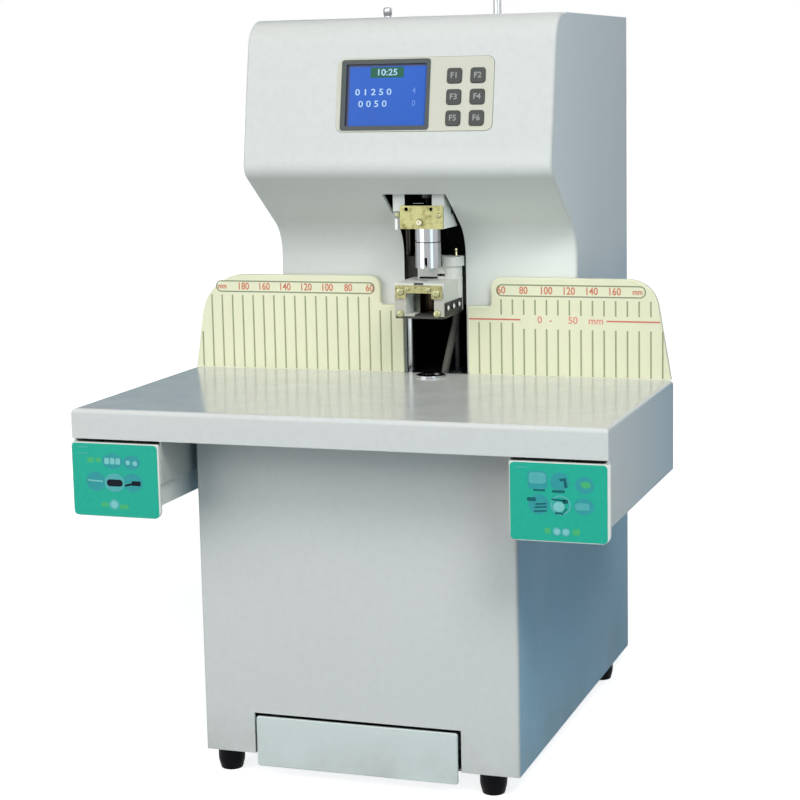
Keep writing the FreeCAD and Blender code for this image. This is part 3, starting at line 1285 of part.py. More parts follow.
# ================================================================ waste tray
def waste_tray():
    """The chip tray: a low sheet box behind a front that hangs below it as a grip."""
    front_x = (TRAY_X - TRAY_FRONT_HALF, TRAY_X + TRAY_FRONT_HALF)
    front_y = (BODY_FRONT_Y - TRAY_FRONT_PROUD, BODY_FRONT_Y - TRAY_FRONT_PROUD + TRAY_FRONT_THICK)
    front = rounded_pane(front_x, front_y, TRAY_FRONT_Z, TRAY_FRONT_R)
    front = fillet_where(front, TRAY_FRONT_EDGE_R, lambda m, e: m.y < front_y[0] + 1e-3)
    x = (TRAY_X - TRAY_HALF, TRAY_X + TRAY_HALF)
    y = (front_y[1], TRAY_BACK_Y)
    z = (BASE_TOP_Z + SLIDE_GAP, TRAY_TOP_Z)
    t = TRAY_SHEET
    box = block(x, y, z)
    room = block(grown(x, -t), (y[0] + t, y[1] - t), (z[0] + t, z[1] + 1))
    return fused([front, box.cut(room)])


# ================================================================ electrics
def power_inlet():
    """The mains inlet with its three pins and the well of the rocker switch above it."""
    y = (REAR_COVER_Y[1] - INLET_DEPTH, REAR_COVER_Y[1])
    body = block(INLET_X, y, INLET_Z)
    flange_y = (REAR_COVER_Y[1], REAR_COVER_Y[1] + INLET_FLANGE)
    flange = rounded_pane(grown(INLET_X, 3), flange_y, grown(INLET_Z, 3), 3.0)
    module = fused([body, flange])
    deep = flange_y[1] - SOCKET_DEPTH
    module = module.cut(rounded_pane(SOCKET_X, (deep, flange_y[1] + 1), SOCKET_Z, 3.0))
    module = module.cut(block(SWITCH_X, (flange_y[1] - SWITCH_DEPTH, flange_y[1] + 1), SWITCH_Z))
    middle_x = (SOCKET_X[0] + SOCKET_X[1]) / 2
    middle_z = (SOCKET_Z[0] + SOCKET_Z[1]) / 2
    pins = []
    for dx, dz in ((-7.0, -2.0), (0.0, 3.0), (7.0, -2.0)):
        x = (middle_x + dx - SOCKET_PIN[0] / 2, middle_x + dx + SOCKET_PIN[0] / 2)
        z = (middle_z + dz - SOCKET_PIN[1] / 2, middle_z + dz + SOCKET_PIN[1] / 2)
        pins.append(block(x, (deep, flange_y[1] - 4), z))
    return fused([module] + pins)


def switch_pivot():
    """The rocker's pivot, as (Y, Z)."""
    return (REAR_COVER_Y[1] + INLET_FLANGE - 5.2, (SWITCH_Z[0] + SWITCH_Z[1]) / 2)


def power_switch():
    """The rocker, resting tilted to its off side."""
    y, z = switch_pivot()
    half = (SWITCH_Z[1] - SWITCH_Z[0]) / 2 - 0.9
    outline = [
        (y - 2.0, z - half + 2),
        (y + 2.6, z - half),
        (y + 4.0, z),
        (y + 2.6, z + half),
        (y - 2.0, z + half - 2),
    ]
    rocker = side_prism(outline, [0.5] * 5, grown(SWITCH_X, -SLIDE_GAP))
    rocker.rotate(vec(0, y, z), vec(1, 0, 0), -ROCKER_TILT)
    return rocker


def control_board():
    """The circuit board on four standoffs inside the left panel, with its larger parts."""
    plane_x = -INNER_HALF + STANDOFF
    board = block((plane_x, plane_x + BOARD_THICK), BOARD_Y, BOARD_Z)
    face = plane_x + BOARD_THICK
    parts = [
        block((face, face + CHIP_HEIGHT), shifted(CHIP_Y, BOARD_Y[0]), CHIP_Z),
        block((face, face + RELAY_HEIGHT), shifted(RELAY_Y, BOARD_Y[0]), RELAY_Z),
        block((face, face + PLUG_HEIGHT), shifted(PLUG_Y, BOARD_Y[0]), PLUG_Z),
    ]
    for y in CAN_Y:
        parts.append(bar_x(CAN_R, (face, face + CAN_HEIGHT), BOARD_Y[0] + y, CAN_Z))
    for y in grown(BOARD_Y, -STANDOFF_INSET):
        for z in grown(BOARD_Z, -STANDOFF_INSET):
            parts.append(bar_x(STANDOFF_R, (-INNER_HALF, plane_x), y, z))
    return fused([board] + parts)


def power_supply():
    """The transformer on the base pan: laminated core, coil and foot."""
    foot_z = (BASE_TOP_Z, BASE_TOP_Z + SUPPLY_FOOT)
    foot = block(SUPPLY_X, grown(SUPPLY_Y, SUPPLY_FOOT_REACH), foot_z)
    core_z = (foot_z[1], BASE_TOP_Z + SUPPLY_HEIGHT)
    core = block(SUPPLY_X, SUPPLY_Y, core_z)
    coil_y = grown(SUPPLY_Y, -COIL_INSET_Y)
    coil_z = (BASE_TOP_Z + COIL_INSET_LOW, core_z[1] - COIL_INSET_HIGH)
    coil = rounded_slab(grown(SUPPLY_X, COIL_REACH), coil_y, coil_z, COIL_R)
    return fused([foot, core, coil])


# ================================================================ build
def main():
    save("head_cover", head_cover())
    save("left_side_panel", side_panel(-1))
    save("right_side_panel", side_panel(1))
    save("body_front_panel", body_front_panel())
    save("rear_cover", rear_cover())
    save("base_pan", base_pan())
    save("rubber_feet", rubber_feet())
    save("frame_plates", frame_plates())
    save("bed_plate", bed_plate())
    save("frame_top_plate", frame_top_plate())
    save("guide_columns", guide_columns())
    save("work_table", work_table())
    save("left_fence", fence(-1, LEFT_FENCE_FOOT_X, LEFT_FENCE_TOP_X, LEFT_FENCE_SHOULDER_R))
    save("right_fence", fence(1, RIGHT_FENCE_FOOT_X, RIGHT_FENCE_TOP_X, RIGHT_FENCE_SHOULDER_R))
    save("upper_bracket", upper_bracket())
    save("bracket_plate", bracket_plate())
    save("spindle_sleeve", spindle_sleeve())
    save("drill_crosshead", drill_crosshead())
    save("quill", quill())
    save("spindle_shaft", spindle_shaft())
    save("hollow_drill", hollow_drill())
    save("spindle_pulley", spindle_pulley())
    save("motor_pulley", motor_pulley())
    save("drive_belt", drive_belt())
    save("drill_motor", drill_motor())
    save("drill_feed_motor", drill_feed_motor())
    save("drill_feed_screw", drill_feed_screw())
    save("presser_block", presser_block())
    save("presser_foot", presser_foot())
    save("presser_strip", presser_strip())
    save("upper_die", upper_die())
    save("heater_terminals", heater_terminals())
    save("chip_hose", chip_hose())
    save("chip_chute", chip_chute())
    save("presser_motor", presser_motor())
    save("presser_feed_screw", presser_feed_screw())
    save("die_ring", die_ring())
    save("lower_die", lower_die())
    save("die_actuator", die_actuator())
    save("tube_guide", tube_guide())
    save("nylon_tube", nylon_tube())
    save("feed_roller", feed_roller())
    save("tube_feed_motor", tube_feed_motor())
    save("control_panel", control_panel())
    save("display_bezel", display_bezel())
    save("display_glass", display_glass())
    number = 0
    for up in KEY_UP:
        for x in KEY_X:
            number += 1
            save("key_%d" % number, key_cap(x, up))
    save("drawer_rails", drawer_rails())
    save("left_drawer", drawer(-1))
    save("right_drawer", drawer(1))
    save("waste_tray", waste_tray())
    save("power_inlet", power_inlet())
    save("power_switch", power_switch())
    save("control_board", control_board())
    save("power_supply", power_supply())


main()
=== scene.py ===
import json
import math

import bpy
from mathutils import Matrix, Vector


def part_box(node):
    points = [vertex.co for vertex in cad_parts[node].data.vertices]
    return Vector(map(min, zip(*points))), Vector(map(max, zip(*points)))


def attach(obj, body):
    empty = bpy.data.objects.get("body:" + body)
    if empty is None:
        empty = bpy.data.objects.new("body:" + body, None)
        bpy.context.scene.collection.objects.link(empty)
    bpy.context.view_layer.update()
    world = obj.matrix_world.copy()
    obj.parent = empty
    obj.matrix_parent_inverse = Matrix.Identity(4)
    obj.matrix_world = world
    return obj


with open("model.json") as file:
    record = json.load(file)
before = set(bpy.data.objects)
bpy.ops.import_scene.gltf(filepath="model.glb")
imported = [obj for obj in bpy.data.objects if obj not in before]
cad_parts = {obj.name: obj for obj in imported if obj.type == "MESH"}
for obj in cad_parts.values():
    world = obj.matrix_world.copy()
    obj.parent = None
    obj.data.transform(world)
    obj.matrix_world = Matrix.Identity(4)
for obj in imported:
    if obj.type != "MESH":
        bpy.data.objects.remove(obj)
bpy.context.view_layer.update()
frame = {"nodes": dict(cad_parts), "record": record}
NODES = frame["nodes"]

MM = 0.001
TABLE_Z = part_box("work_table")[1].z
FENCE_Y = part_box("left_fence")[0].y
HEAD_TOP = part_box("head_cover")[1].z

RIGHTWARDS = (1, 0, 0)
REARWARDS = (0, 1, 0)
FORWARDS = (0, -1, 0)
UPWARDS = (0, 0, 1)


# -------- colour
def lin(r, g, b):
    """An sRGB colour, 0 to 255, as linear RGBA, by the standard's own curve."""
    def channel(c):
        c = c / 255.0
        return c / 12.92 if c <= 0.04045 else ((c + 0.055) / 1.055) ** 2.4
    return (channel(r), channel(g), channel(b), 1.0)


def shade(colour, k):
    """The colour times k, up to white."""
    return tuple(min(1.0, c * k) for c in colour[:3]) + (1.0,)


BLACK = (0.0, 0.0, 0.0, 1.0)
WHITE = (1.0, 1.0, 1.0, 1.0)


# -------- node trees
MIX_FACTOR, MIX_A, MIX_B, MIX_RESULT = 0, 6, 7, 2  # the sockets of a Mix node for colours
NOISE_LOW, NOISE_HIGH = 0.3, 0.7  # where nearly all of a noise's values lie
SPECULAR = 0.5  # the shader's own specular level
EDGE_TURN = 0.03  # how far under 1 the product of two normals is where an edge's mask is full


class Tree:
    """Short ways to add nodes and to join them."""

    def __init__(self, tree):
        self.tree = tree

    def node(self, kind, **settings):
        """A new node with its settings made."""
        made = self.tree.nodes.new(kind)
        for key, value in settings.items():
            setattr(made, key, value)
        return made

    def link(self, output, socket):
        """Joins an output to an input."""
        self.tree.links.new(output, socket)

    def feed(self, socket, value):
        """Gives an input a number or a colour, or joins another node's output to it."""
        if isinstance(value, (int, float, tuple)):
            socket.default_value = value
        else:
            self.link(value, socket)

    def math(self, operation, a, b, kind="ShaderNodeMath", output=0):
        """A Math node's result."""
        made = self.node(kind, operation=operation)
        self.feed(made.inputs[0], a)
        self.feed(made.inputs[1], b)
        return made.outputs[output]

    def times(self, a, b):
        """The product, which for two masks is where both are."""
        return self.math("MULTIPLY", a, b)

    def vector(self, operation, a, b, output="Vector"):
        """A Vector Math node's result for two vectors."""
        return self.math(operation, a, b, "ShaderNodeVectorMath", output)

    def length(self, vector):
        """A vector's length."""
        made = self.node("ShaderNodeVectorMath", operation="LENGTH")
        self.link(vector, made.inputs[0])
        return made.outputs["Value"]

    def part(self, vector, axis):
        """One of a vector's three numbers."""
        split = self.node("ShaderNodeSeparateXYZ")
        self.link(vector, split.inputs[0])
        return split.outputs[axis]

    def mix(self, factor, a, b, blend="MIX"):
        """Colour a where the factor is 0, and b blended with it where it is 1."""
        made = self.node("ShaderNodeMix", data_type="RGBA", blend_type=blend)
        for slot, value in ((MIX_FACTOR, factor), (MIX_A, a), (MIX_B, b)):
            self.feed(made.inputs[slot], value)
        return made.outputs[MIX_RESULT]

    def seen_directly(self):
        """1 for rays from the camera, reflections and glass, 0 for the light on surfaces."""
        path = self.node("ShaderNodeLightPath")
        total = path.outputs["Is Camera Ray"]
        for key in ("Is Glossy Ray", "Is Transmission Ray"):
            total = self.math("MAXIMUM", total, path.outputs[key])
        return total


class Shader(Tree):
    """A material in object space, built on one Principled shader."""

    def __init__(self, name):
        self.material = bpy.data.materials.new(name)
        self.material.use_nodes = True
        super().__init__(self.material.node_tree)
        self.tree.nodes.clear()
        out = self.node("ShaderNodeOutputMaterial")
        self.bsdf = self.node("ShaderNodeBsdfPrincipled")
        self.link(self.bsdf.outputs[0], out.inputs["Surface"])
        self.coords = self.node("ShaderNodeTexCoord").outputs["Object"]
        self.normal = None

    def set(self, name, value):
        """Sets one of the shader's own inputs."""
        self.bsdf.inputs[name].default_value = value

    def stretched(self, scale):
        """Object coordinates scaled along each axis: a small number draws a pattern out."""
        mapping = self.node("ShaderNodeMapping")
        mapping.inputs["Scale"].default_value = scale
        self.link(self.coords, mapping.inputs["Vector"])
        return mapping.outputs[0]

    def noise(self, scale, detail=3.0, roughness=0.55, vector=None):
        """A noise with so many waves to the metre."""
        made = self.node("ShaderNodeTexNoise")
        made.inputs["Scale"].default_value = scale
        made.inputs["Detail"].default_value = detail
        made.inputs["Roughness"].default_value = roughness
        self.link(vector or self.coords, made.inputs["Vector"])
        return made.outputs["Fac"]

    def ranged(self, value, low, high, to_low, to_high):
        """The value with low..high spread over to_low..to_high, and held at both ends."""
        made = self.node("ShaderNodeMapRange")
        limits = {"From Min": low, "From Max": high, "To Min": to_low, "To Max": to_high}
        for key, number in limits.items():
            made.inputs[key].default_value = number
        self.link(value, made.inputs["Value"])
        return made.outputs["Result"]

    def spread(self, noise, low=0.0, high=1.0):
        """A noise spread over low..high."""
        return self.ranged(noise, NOISE_LOW, NOISE_HIGH, low, high)

    def ramp(self, axis, start, end, low=0.0, high=1.0):
        """From low to high between two places on an axis, in millimetres."""
        return self.ranged(self.part(self.coords, axis), start * MM, end * MM, low, high)

    def looking(self, axis, low=0.5, high=0.9, start=0.0, end=1.0):
        """A mask of the faces that look along an axis, or against it with low and high below 0."""
        facing = self.part(self.node("ShaderNodeNewGeometry").outputs["Normal"], axis)
        return self.ranged(facing, low, high, start, end)

    def within(self, **sides):
        """1 inside a box in object space, in millimetres, 0 outside; None leaves a side open."""
        mask = 1.0
        for axis, limits in sides.items():
            place = self.part(self.coords, axis.upper())
            for limit, operation in zip(limits, ("GREATER_THAN", "LESS_THAN")):
                if limit is not None:
                    mask = self.times(self.math(operation, place, limit * MM), mask)
        return mask

    def around(self, x, y, start, end):
        """1 near an upright axis and 0 away from it, fading between two radii, in millimetres."""
        made = self.node("ShaderNodeVectorMath", operation="MULTIPLY_ADD")
        made.inputs[1].default_value = (1.0, 1.0, 0.0)
        made.inputs[2].default_value = (-x * MM, -y * MM, 0.0)
        self.link(self.coords, made.inputs[0])
        return self.ranged(self.length(made.outputs[0]), start * MM, end * MM, 1.0, 0.0)

    def edges(self, radius):
        """A mask that is 1 along convex and concave edges."""
        bevel = self.node("ShaderNodeBevel", samples=4)
        bevel.inputs["Radius"].default_value = radius
        normal = self.node("ShaderNodeNewGeometry").outputs["Normal"]
        alike = self.vector("DOT_PRODUCT", bevel.outputs[0], normal, "Value")
        return self.ranged(alike, 1.0 - EDGE_TURN, 1.0, 1.0, 0.0)

    def mottled(self, noise, colour, dark, light):
        """The colour between two shades of it, by a noise."""
        return self.mix(self.spread(noise), shade(colour, dark), shade(colour, light))

    def darker(self, base, colour):
        """The base multiplied by a colour."""
        return self.mix(1.0, base, colour, "MULTIPLY")

    def bump(self, height, distance, strength=1.0):
        """Raises the surface by a pattern, on top of what raises it already."""
        made = self.node("ShaderNodeBump")
        made.inputs["Strength"].default_value = strength
        made.inputs["Distance"].default_value = distance
        self.link(height, made.inputs["Height"])
        if self.normal is not None:
            self.link(self.normal, made.inputs["Normal"])
        self.normal = made.outputs[0]
        self.link(self.normal, self.bsdf.inputs["Normal"])

    def colour(self, value):
        """Joins a pattern to the shader's colour."""
        self.link(value, self.bsdf.inputs["Base Color"])

    def rough(self, noise, low, high):
        """Lets the roughness vary between two values, by a noise."""
        self.link(self.spread(noise, low, high), self.bsdf.inputs["Roughness"])

    def tint(self, mask, colour, level=None):
        """Repaints what the mask covers; level is the specular level there."""
        socket = self.bsdf.inputs["Base Color"]
        self.link(self.mix(mask, socket.links[0].from_socket, colour), socket)
        if level is not None:
            socket = self.bsdf.inputs["Specular IOR Level"]
            before = socket.links[0].from_socket if socket.is_linked else socket.default_value
            self.link(self.math("ADD", self.times(mask, level - SPECULAR), before), socket)

    def finished(self, zones=()):
        """The material with its zones repainted: a mask, a colour and perhaps a level for each."""
        for mask, colour, *level in zones:
            self.tint(mask(self), colour, *level)
        return self.material


# -------- kinds of material
# Bump distances and edge radii are in metres, and a noise's scale is in waves to the metre.
DUST = lin(150, 143, 130)
BLOOM = lin(120, 118, 112)
RUBBED_RUBBER = lin(95, 95, 92)
BARE_STEEL = lin(150, 150, 148)
STAIN = lin(60, 55, 50)
# Which way grinding marks run: across, to the rear or up, where the number is small.
EVEN = (1.0, 1.0, 1.0)
GROUND_UP = (1.0, 1.0, 0.08)
DRAWN_UP = (1.0, 1.0, 0.1)
TURNED_UP = (1.0, 1.0, 0.2)
GROUND_DEEP = (1.0, 0.15, 1.0)
MILLED_ACROSS = (0.12, 1.0, 1.0)
ROLLED_ACROSS = (0.2, 1.0, 1.0)


def painted(name, colour, rough, peel=1.0, wear=0.5, bare=BARE_STEEL, tone=0.035, low=0.0,
            upright=SPECULAR, zones=()):
    """Powder coat or enamel: orange peel, faint blotches, rubbed edges and dust towards the floor.

    Dust begins below the height low, in metres. Upright faces may be less glossy than level
    ones: upright is their specular level.
    """
    s = Shader(name)
    base = s.mottled(s.noise(7.0, 4.0), colour, 1.0 - tone, 1.0 + tone)
    fine = s.spread(s.noise(160.0, 2.0))
    base = s.mix(s.times(fine, 0.1), base, s.darker(base, shade(colour, 0.97)))
    if low > 0:
        depth = s.ranged(s.part(s.coords, "Z"), low, 0.0, 0.0, 1.0)
        dust = s.times(depth, s.ranged(s.noise(22.0, 5.0), 0.35, 0.75, 0.0, 0.5))
        base = s.mix(dust, base, DUST)
    chips = s.ranged(s.noise(420.0, 4.0, 0.7), 0.56, 0.66, 0.0, 1.0)
    s.colour(s.mix(s.times(s.times(s.edges(0.0011), chips), wear), base, bare))
    smear = s.noise(24.0, 5.0, 0.6, s.stretched((1.0, 1.0, 0.25)))
    s.rough(smear, rough - 0.05, rough + 0.07)
    s.bump(s.noise(900.0, 2.0), 0.00006 * peel, 0.35)
    s.bump(s.noise(3200.0, 1.0), 0.00003 * peel, 0.3)
    if upright < SPECULAR:
        level = s.looking("Z", start=upright, end=SPECULAR)
        s.link(level, s.bsdf.inputs["Specular IOR Level"])
    return s.finished(zones)


def moulded(name, colour, rough, grain=1.0, tone=0.02, spec=SPECULAR, sub=0.0):
    """Moulded plastic: spark-eroded grain, slight sink marks and handling polish."""
    s = Shader(name)
    base = s.mottled(s.noise(11.0, 3.0), colour, 1.0 - tone, 1.0 + tone)
    s.colour(s.mix(s.times(s.edges(0.0009), 0.25), base, shade(colour, 1.22)))
    s.rough(s.noise(30.0, 4.0), rough - 0.06, rough + 0.05)
    s.bump(s.noise(1500.0, 2.0, 0.7), 0.00007 * grain, 0.4)
    s.bump(s.noise(45.0, 1.0), 0.00012 * grain, 0.2)
    s.set("Specular IOR Level", spec)
    if sub > 0:
        s.set("Subsurface Weight", sub)
        s.set("Subsurface Scale", 0.004)
    return s.finished()


def metal(name, colour, rough, along=EVEN, depth=1.0, stain=0.25, dark=STAIN,
          grain=900.0, cloud=60.0, zones=()):
    """Bare or plated metal: directional grinding marks, stains and brighter rubbed edges.

    The marks run along the axis on which along is small. Stains are cloud waves to the metre.
    """
    s = Shader(name)
    lines = s.noise(grain, 3.0, 0.6, s.stretched(along))
    clouds = s.ranged(s.noise(cloud, 5.0, 0.65), 0.48, 0.8, 0.0, stain)
    base = s.mottled(lines, colour, 0.93, 1.05)
    base = s.mix(clouds, base, s.darker(base, dark))
    s.colour(s.mix(s.times(s.edges(0.0005), 0.5), base, shade(colour, 1.25)))
    s.set("Metallic", 1.0)
    s.rough(s.noise(140.0, 4.0), max(0.03, rough - 0.06), rough + 0.08)
    s.bump(lines, 0.00003 * depth, 0.5)
    return s.finished(zones)


def rubbery(name, colour, rough=0.75, spec=0.35, dust=0.35, zones=()):
    """Rubber or matt elastomer: bloom, dust and a fine pebble."""
    s = Shader(name)
    base = s.mix(s.ranged(s.noise(70.0, 5.0, 0.7), 0.5, 0.85, 0.0, dust), colour, BLOOM)
    s.colour(s.mix(s.times(s.edges(0.0006), 0.3), base, RUBBED_RUBBER))
    s.rough(s.noise(90.0, 3.0), rough - 0.08, rough + 0.08)
    s.bump(s.noise(1100.0, 2.0), 0.00009, 0.5)
    s.set("Specular IOR Level", spec)
    return s.finished(zones)


def printed(name, colour, rough=0.45, tone=0.05):
    """Screen-printed ink, a little uneven and slightly raised."""
    s = Shader(name)
    s.colour(s.mottled(s.noise(260.0, 3.0), colour, 1.0 - tone, 1.0 + tone))
    s.rough(s.noise(120.0, 2.0), rough - 0.05, rough + 0.08)
    s.bump(s.noise(1800.0, 1.0), 0.00003, 0.3)
    s.set("Specular IOR Level", 0.1)
    return s.finished()


def lit(name, colour, strength):
    """A backlit display layer with a faint pixel pitch."""
    s = Shader(name)
    cloud = s.ranged(s.noise(16.0, 2.0), 0.25, 0.75, 0.0, 1.0)
    base = s.mix(cloud, shade(colour, 0.9), shade(colour, 1.08))
    base = s.mix(s.spread(s.noise(2600.0, 0.0), 0.0, 0.18), base, shade(colour, 0.75))
    s.colour(base)
    s.link(base, s.bsdf.inputs["Emission Color"])
    s.set("Emission Strength", strength)
    s.rough(s.noise(40.0, 3.0), 0.16, 0.24)
    s.set("Specular IOR Level", 0.12)
    s.bump(s.noise(900.0, 1.0), 0.00001, 0.2)
    return s.finished()


# -------- zones
# Each of these is a mask, with its places in millimetres in the CAD's frame.
def shaded_cheek(s):
    """Painted shade on the table's right cheek: darker and bluer towards the rear."""
    return s.times(s.ramp("Y", -200, 20, 0.2, 0.95), s.looking("X", 0.7, 0.9))


def upper_side(s):
    """Where the sides' painted shade, darker and bluer below the table, gives way to the paler
    colour at the head's height.
    """
    return s.ramp("Z", 280, 420)


def lower_shell(s):
    """Painted light on the head's neck: lighter towards the right, where less of the head's shade
    falls.
    """
    return s.times(s.ramp("X", -130, 80, 0.15, 1.0), s.ramp("Z", 510, 460))


def slot_edge(s):
    """Painted shade on the thickness of the shell at the slot's left edge."""
    return s.times(s.within(x=(-20.2, -19.2), y=(5, 60), z=(375, 470)), s.looking("X"))


def inside_cover(s):
    """Painted shade on the rear cover's inner face and the louvres' sills, seen through the slot
    and the louvres.
    """
    sills = s.times(s.within(z=(100, 600)), s.looking("Z"))
    return s.math("MAXIMUM", s.looking("Y", -0.3, -0.5), sills)


def ear_inside(s):
    """The bracket's inner faces, in the shade behind the plate."""
    return s.times(s.within(x=(-3.5, 26.5)), s.looking("X"))


def ear_side(s):
    """The bracket's right cheek; the brighter colour given to it is painted light."""
    return s.times(s.within(x=(30, None)), s.looking("X"))


def ear_foot(s):
    """The left ear's lower end."""
    return s.within(x=(None, -4.5), z=(None, 453.5))


def ear_back(s):
    """The cheek behind a slanted line, where the head's edge shades it."""
    rise = s.times(s.part(s.coords, "Z"), 1.06)
    line = s.math("ADD", s.part(s.coords, "Y"), rise)
    return s.times(ear_side(s), s.ranged(line, 0.4800, 0.4822, 0.0, 1.0))


def presser_back(s):
    """Painted shade on the presser's rear, its window's sill and the pocket and slit in its top."""
    back = s.within(y=(28.7, None))
    pocket = s.within(x=(6.4, 14.5), y=(-26, -22.4), z=(391.4, 393.2))
    sill = s.within(x=(6.5, 25), z=(None, 367.4))
    slit = s.within(x=(-2.4, 24.1), y=(14.7, 19.8), z=(392.9, 397.3))
    return s.math("MAXIMUM", s.math("MAXIMUM", back, pocket), s.math("MAXIMUM", sill, slit))


def post_front(s):
    """The fronts of the posts beside the presser's window."""
    return s.times(s.within(z=(None, 384)), s.looking("Y", -0.5, -0.9))


def sleeve_seam(s):
    """The dark line round the chromed sleeve."""
    return s.within(z=(425.6, 426.5))


def hose_in_shade(s):
    """The hose's upper end, in the presser's shade."""
    return s.ramp("Z", 328, 350)


def die_bore(s):
    """The upper die's bore."""
    return s.around(11.5, 0.0, 9.8, 10.2)


def greased(s):
    """Painted shade on what runs above the presser's top, deep in the head's slot."""
    return s.ramp("Z", 388, 398)


# -------- the machine's materials
# The sides' pale blue-grey paint, made darker and bluer by painted shade; SIDE_WHITE is their paler
# colour at the head's height.
BLUE_GREY_AND_SHADE = lin(160, 198, 217)
SIDE_WHITE = lin(226, 233, 235)
# Near black for painted shade: in the slot, inside the covers, behind the bracket's plate and on
# what runs above the presser.
PAINTED_SHADE = lin(22, 21, 20)
BODY_PAINT = {"rough": 0.44, "peel": 0.4, "tone": 0.008, "low": 0.08, "upright": 0.02}
CASTING = {"rough": 0.45, "peel": 2.6, "wear": 0.7, "bare": lin(120, 118, 112)}

# By the record's material slot.
MATERIALS = {
    # The table's white paint, with painted shade on its right cheek.
    "white_paint": painted(
        "powder_coat_white", lin(213, 215, 211), 0.17, peel=0.2, tone=0.006, low=0.06,
        upright=0.02, zones=[(shaded_cheek, lin(130, 168, 184))]),
    # The sides: blue-grey paint with painted shade below the table's height.
    "grey_blue_paint": painted(
        "powder_coat_blue_grey_and_shade", BLUE_GREY_AND_SHADE, **BODY_PAINT, zones=[(upper_side, SIDE_WHITE)]),
    "cream_plastic": moulded("fence_cream", lin(223, 223, 192), 0.42, grain=0.6),
    "mint_paint": painted(
        "drawer_pale_enamel", lin(224, 224, 216), 0.34, peel=0.6, wear=0.4, tone=0.01),
    "pale_green_paint": painted(
        "tray_pale_green", lin(210, 219, 215), 0.34, peel=0.4, wear=0.6, tone=0.01, low=0.05),
    "black_rubber": rubbery("foot_rubber", lin(10, 10, 13), 0.4, spec=0.06, dust=0.02),
    "ground_steel": metal("ground_steel", lin(196, 198, 200), 0.18, GROUND_UP, stain=0.2),
    "dark_steel": metal("oiled_steel", lin(118, 120, 122), 0.30, GROUND_DEEP, stain=0.4),
    "bright_chrome": metal(
        "polished_chrome", lin(168, 170, 172), 0.10, DRAWN_UP, depth=0.3, stain=0.08),
    "zinc_plate": metal(
        "yellow_zinc", lin(160, 158, 112), 0.38, ROLLED_ACROSS, stain=1.0,
        dark=lin(120, 112, 64), cloud=170.0),
    "milled_aluminium": metal(
        "milled_aluminium", lin(200, 203, 206), 0.30, MILLED_ACROSS, depth=1.2, stain=0.15),
    "black_motor": painted("motor_black", lin(30, 31, 34), 0.42, peel=1.5, wear=0.6, upright=0.3),
    "black_belt": rubbery("belt_black", lin(30, 30, 32)),
    "dark_insulation": moulded("phenolic_dark", lin(34, 32, 30), 0.55, grain=1.4, tone=0.08),
    "nylon": moulded("nylon_milky", lin(236, 238, 230), 0.36, grain=0.4, sub=0.25),
    "panel_grey": moulded("panel_warm_white", lin(200, 199, 184), 0.48, grain=0.7, spec=0.3),
    "bezel_grey": moulded("bezel_grey", lin(74, 80, 79), 0.46, grain=0.9, tone=0.03, spec=0.25),
    "display_blue": lit("display_backlight", lin(52, 98, 190), 0.02),
    "key_grey": moulded("key_rubber_grey", lin(72, 74, 71), 0.6, grain=1.2, tone=0.03, spec=0.25),
    "zinc_sheet": metal(
        "zinc_sheet", lin(168, 172, 174), 0.36, stain=0.3, dark=lin(120, 122, 124), grain=240.0),
    "circuit_green": moulded("board_green", lin(26, 110, 62), 0.4, grain=0.8, tone=0.06),
    "iron_core": painted("core_varnish", lin(70, 62, 56), 0.5, peel=2.0, wear=0.7),
    "black_plastic": moulded("black_plastic", lin(28, 28, 30), 0.42, tone=0.04),
    "black_oxide": metal("black_oxide", lin(56, 57, 60), 0.34, DRAWN_UP, depth=0.8),
}
# By what is printed with it.
MARKS = {
    "tick": printed("fence_tick_ink", lin(154, 160, 126)),
    "red": printed("scale_red_ink", lin(206, 128, 104)),
    "line": printed("limit_red_ink", lin(206, 122, 104)),
    "limit": printed("limit_words_ink", lin(222, 148, 132)),
    "grey": printed("legend_grey_ink", lin(140, 148, 118)),
    "key": printed("key_legend_ink", lin(158, 160, 156)),
    "label": printed("label_green_film", lin(42, 173, 148), 0.36, 0.04),
    "label_blue": printed("label_blue_ink", lin(56, 154, 156), 0.42),
    "label_glow": printed("label_glow_ink", lin(88, 174, 174), 0.42),
    "label_pale": printed("label_pale_ink", lin(128, 198, 196), 0.42),
    "label_dark": printed("label_dark_ink", lin(28, 96, 100), 0.42),
    "label_lime": printed("label_lime_ink", lin(76, 180, 118), 0.42),
    "label_black": printed("label_black_ink", lin(4, 14, 26), 0.4),
    "title": lit("display_title", lin(40, 94, 74), 0.1),
    "glow": lit("display_glyph", lin(168, 198, 222), 0.15),
    "glow_dim": lit("display_glyph_dim", lin(104, 144, 214), 0.1),
    # Painted shadow along the screen's left and top edges, where the bezel shades it.
    "shadow": moulded("display_painted_shadow", lin(24, 34, 78), 0.3, grain=0.3, tone=0.05),
}
CERAMIC = moulded("ceramic_bead", lin(236, 238, 234), 0.22, grain=0.3)
BRASS = metal("brass", lin(226, 220, 186), 0.22, TURNED_UP, stain=0.3, dark=lin(120, 84, 40))
ZINC_SCREW = metal("zinc_screw", lin(164, 164, 128), 0.30, stain=1.0, dark=lin(90, 86, 56),
                   cloud=420.0)
CREAM_SCREW = metal("nickel_screw", lin(206, 202, 176), 0.26, stain=0.4, dark=lin(130, 112, 84))
STEEL_SCREW = metal("steel_screw", lin(184, 186, 190), 0.24, stain=0.2)
BLACK_SCREW = metal("black_oxide_screw", lin(52, 53, 56), 0.38, stain=0.2)

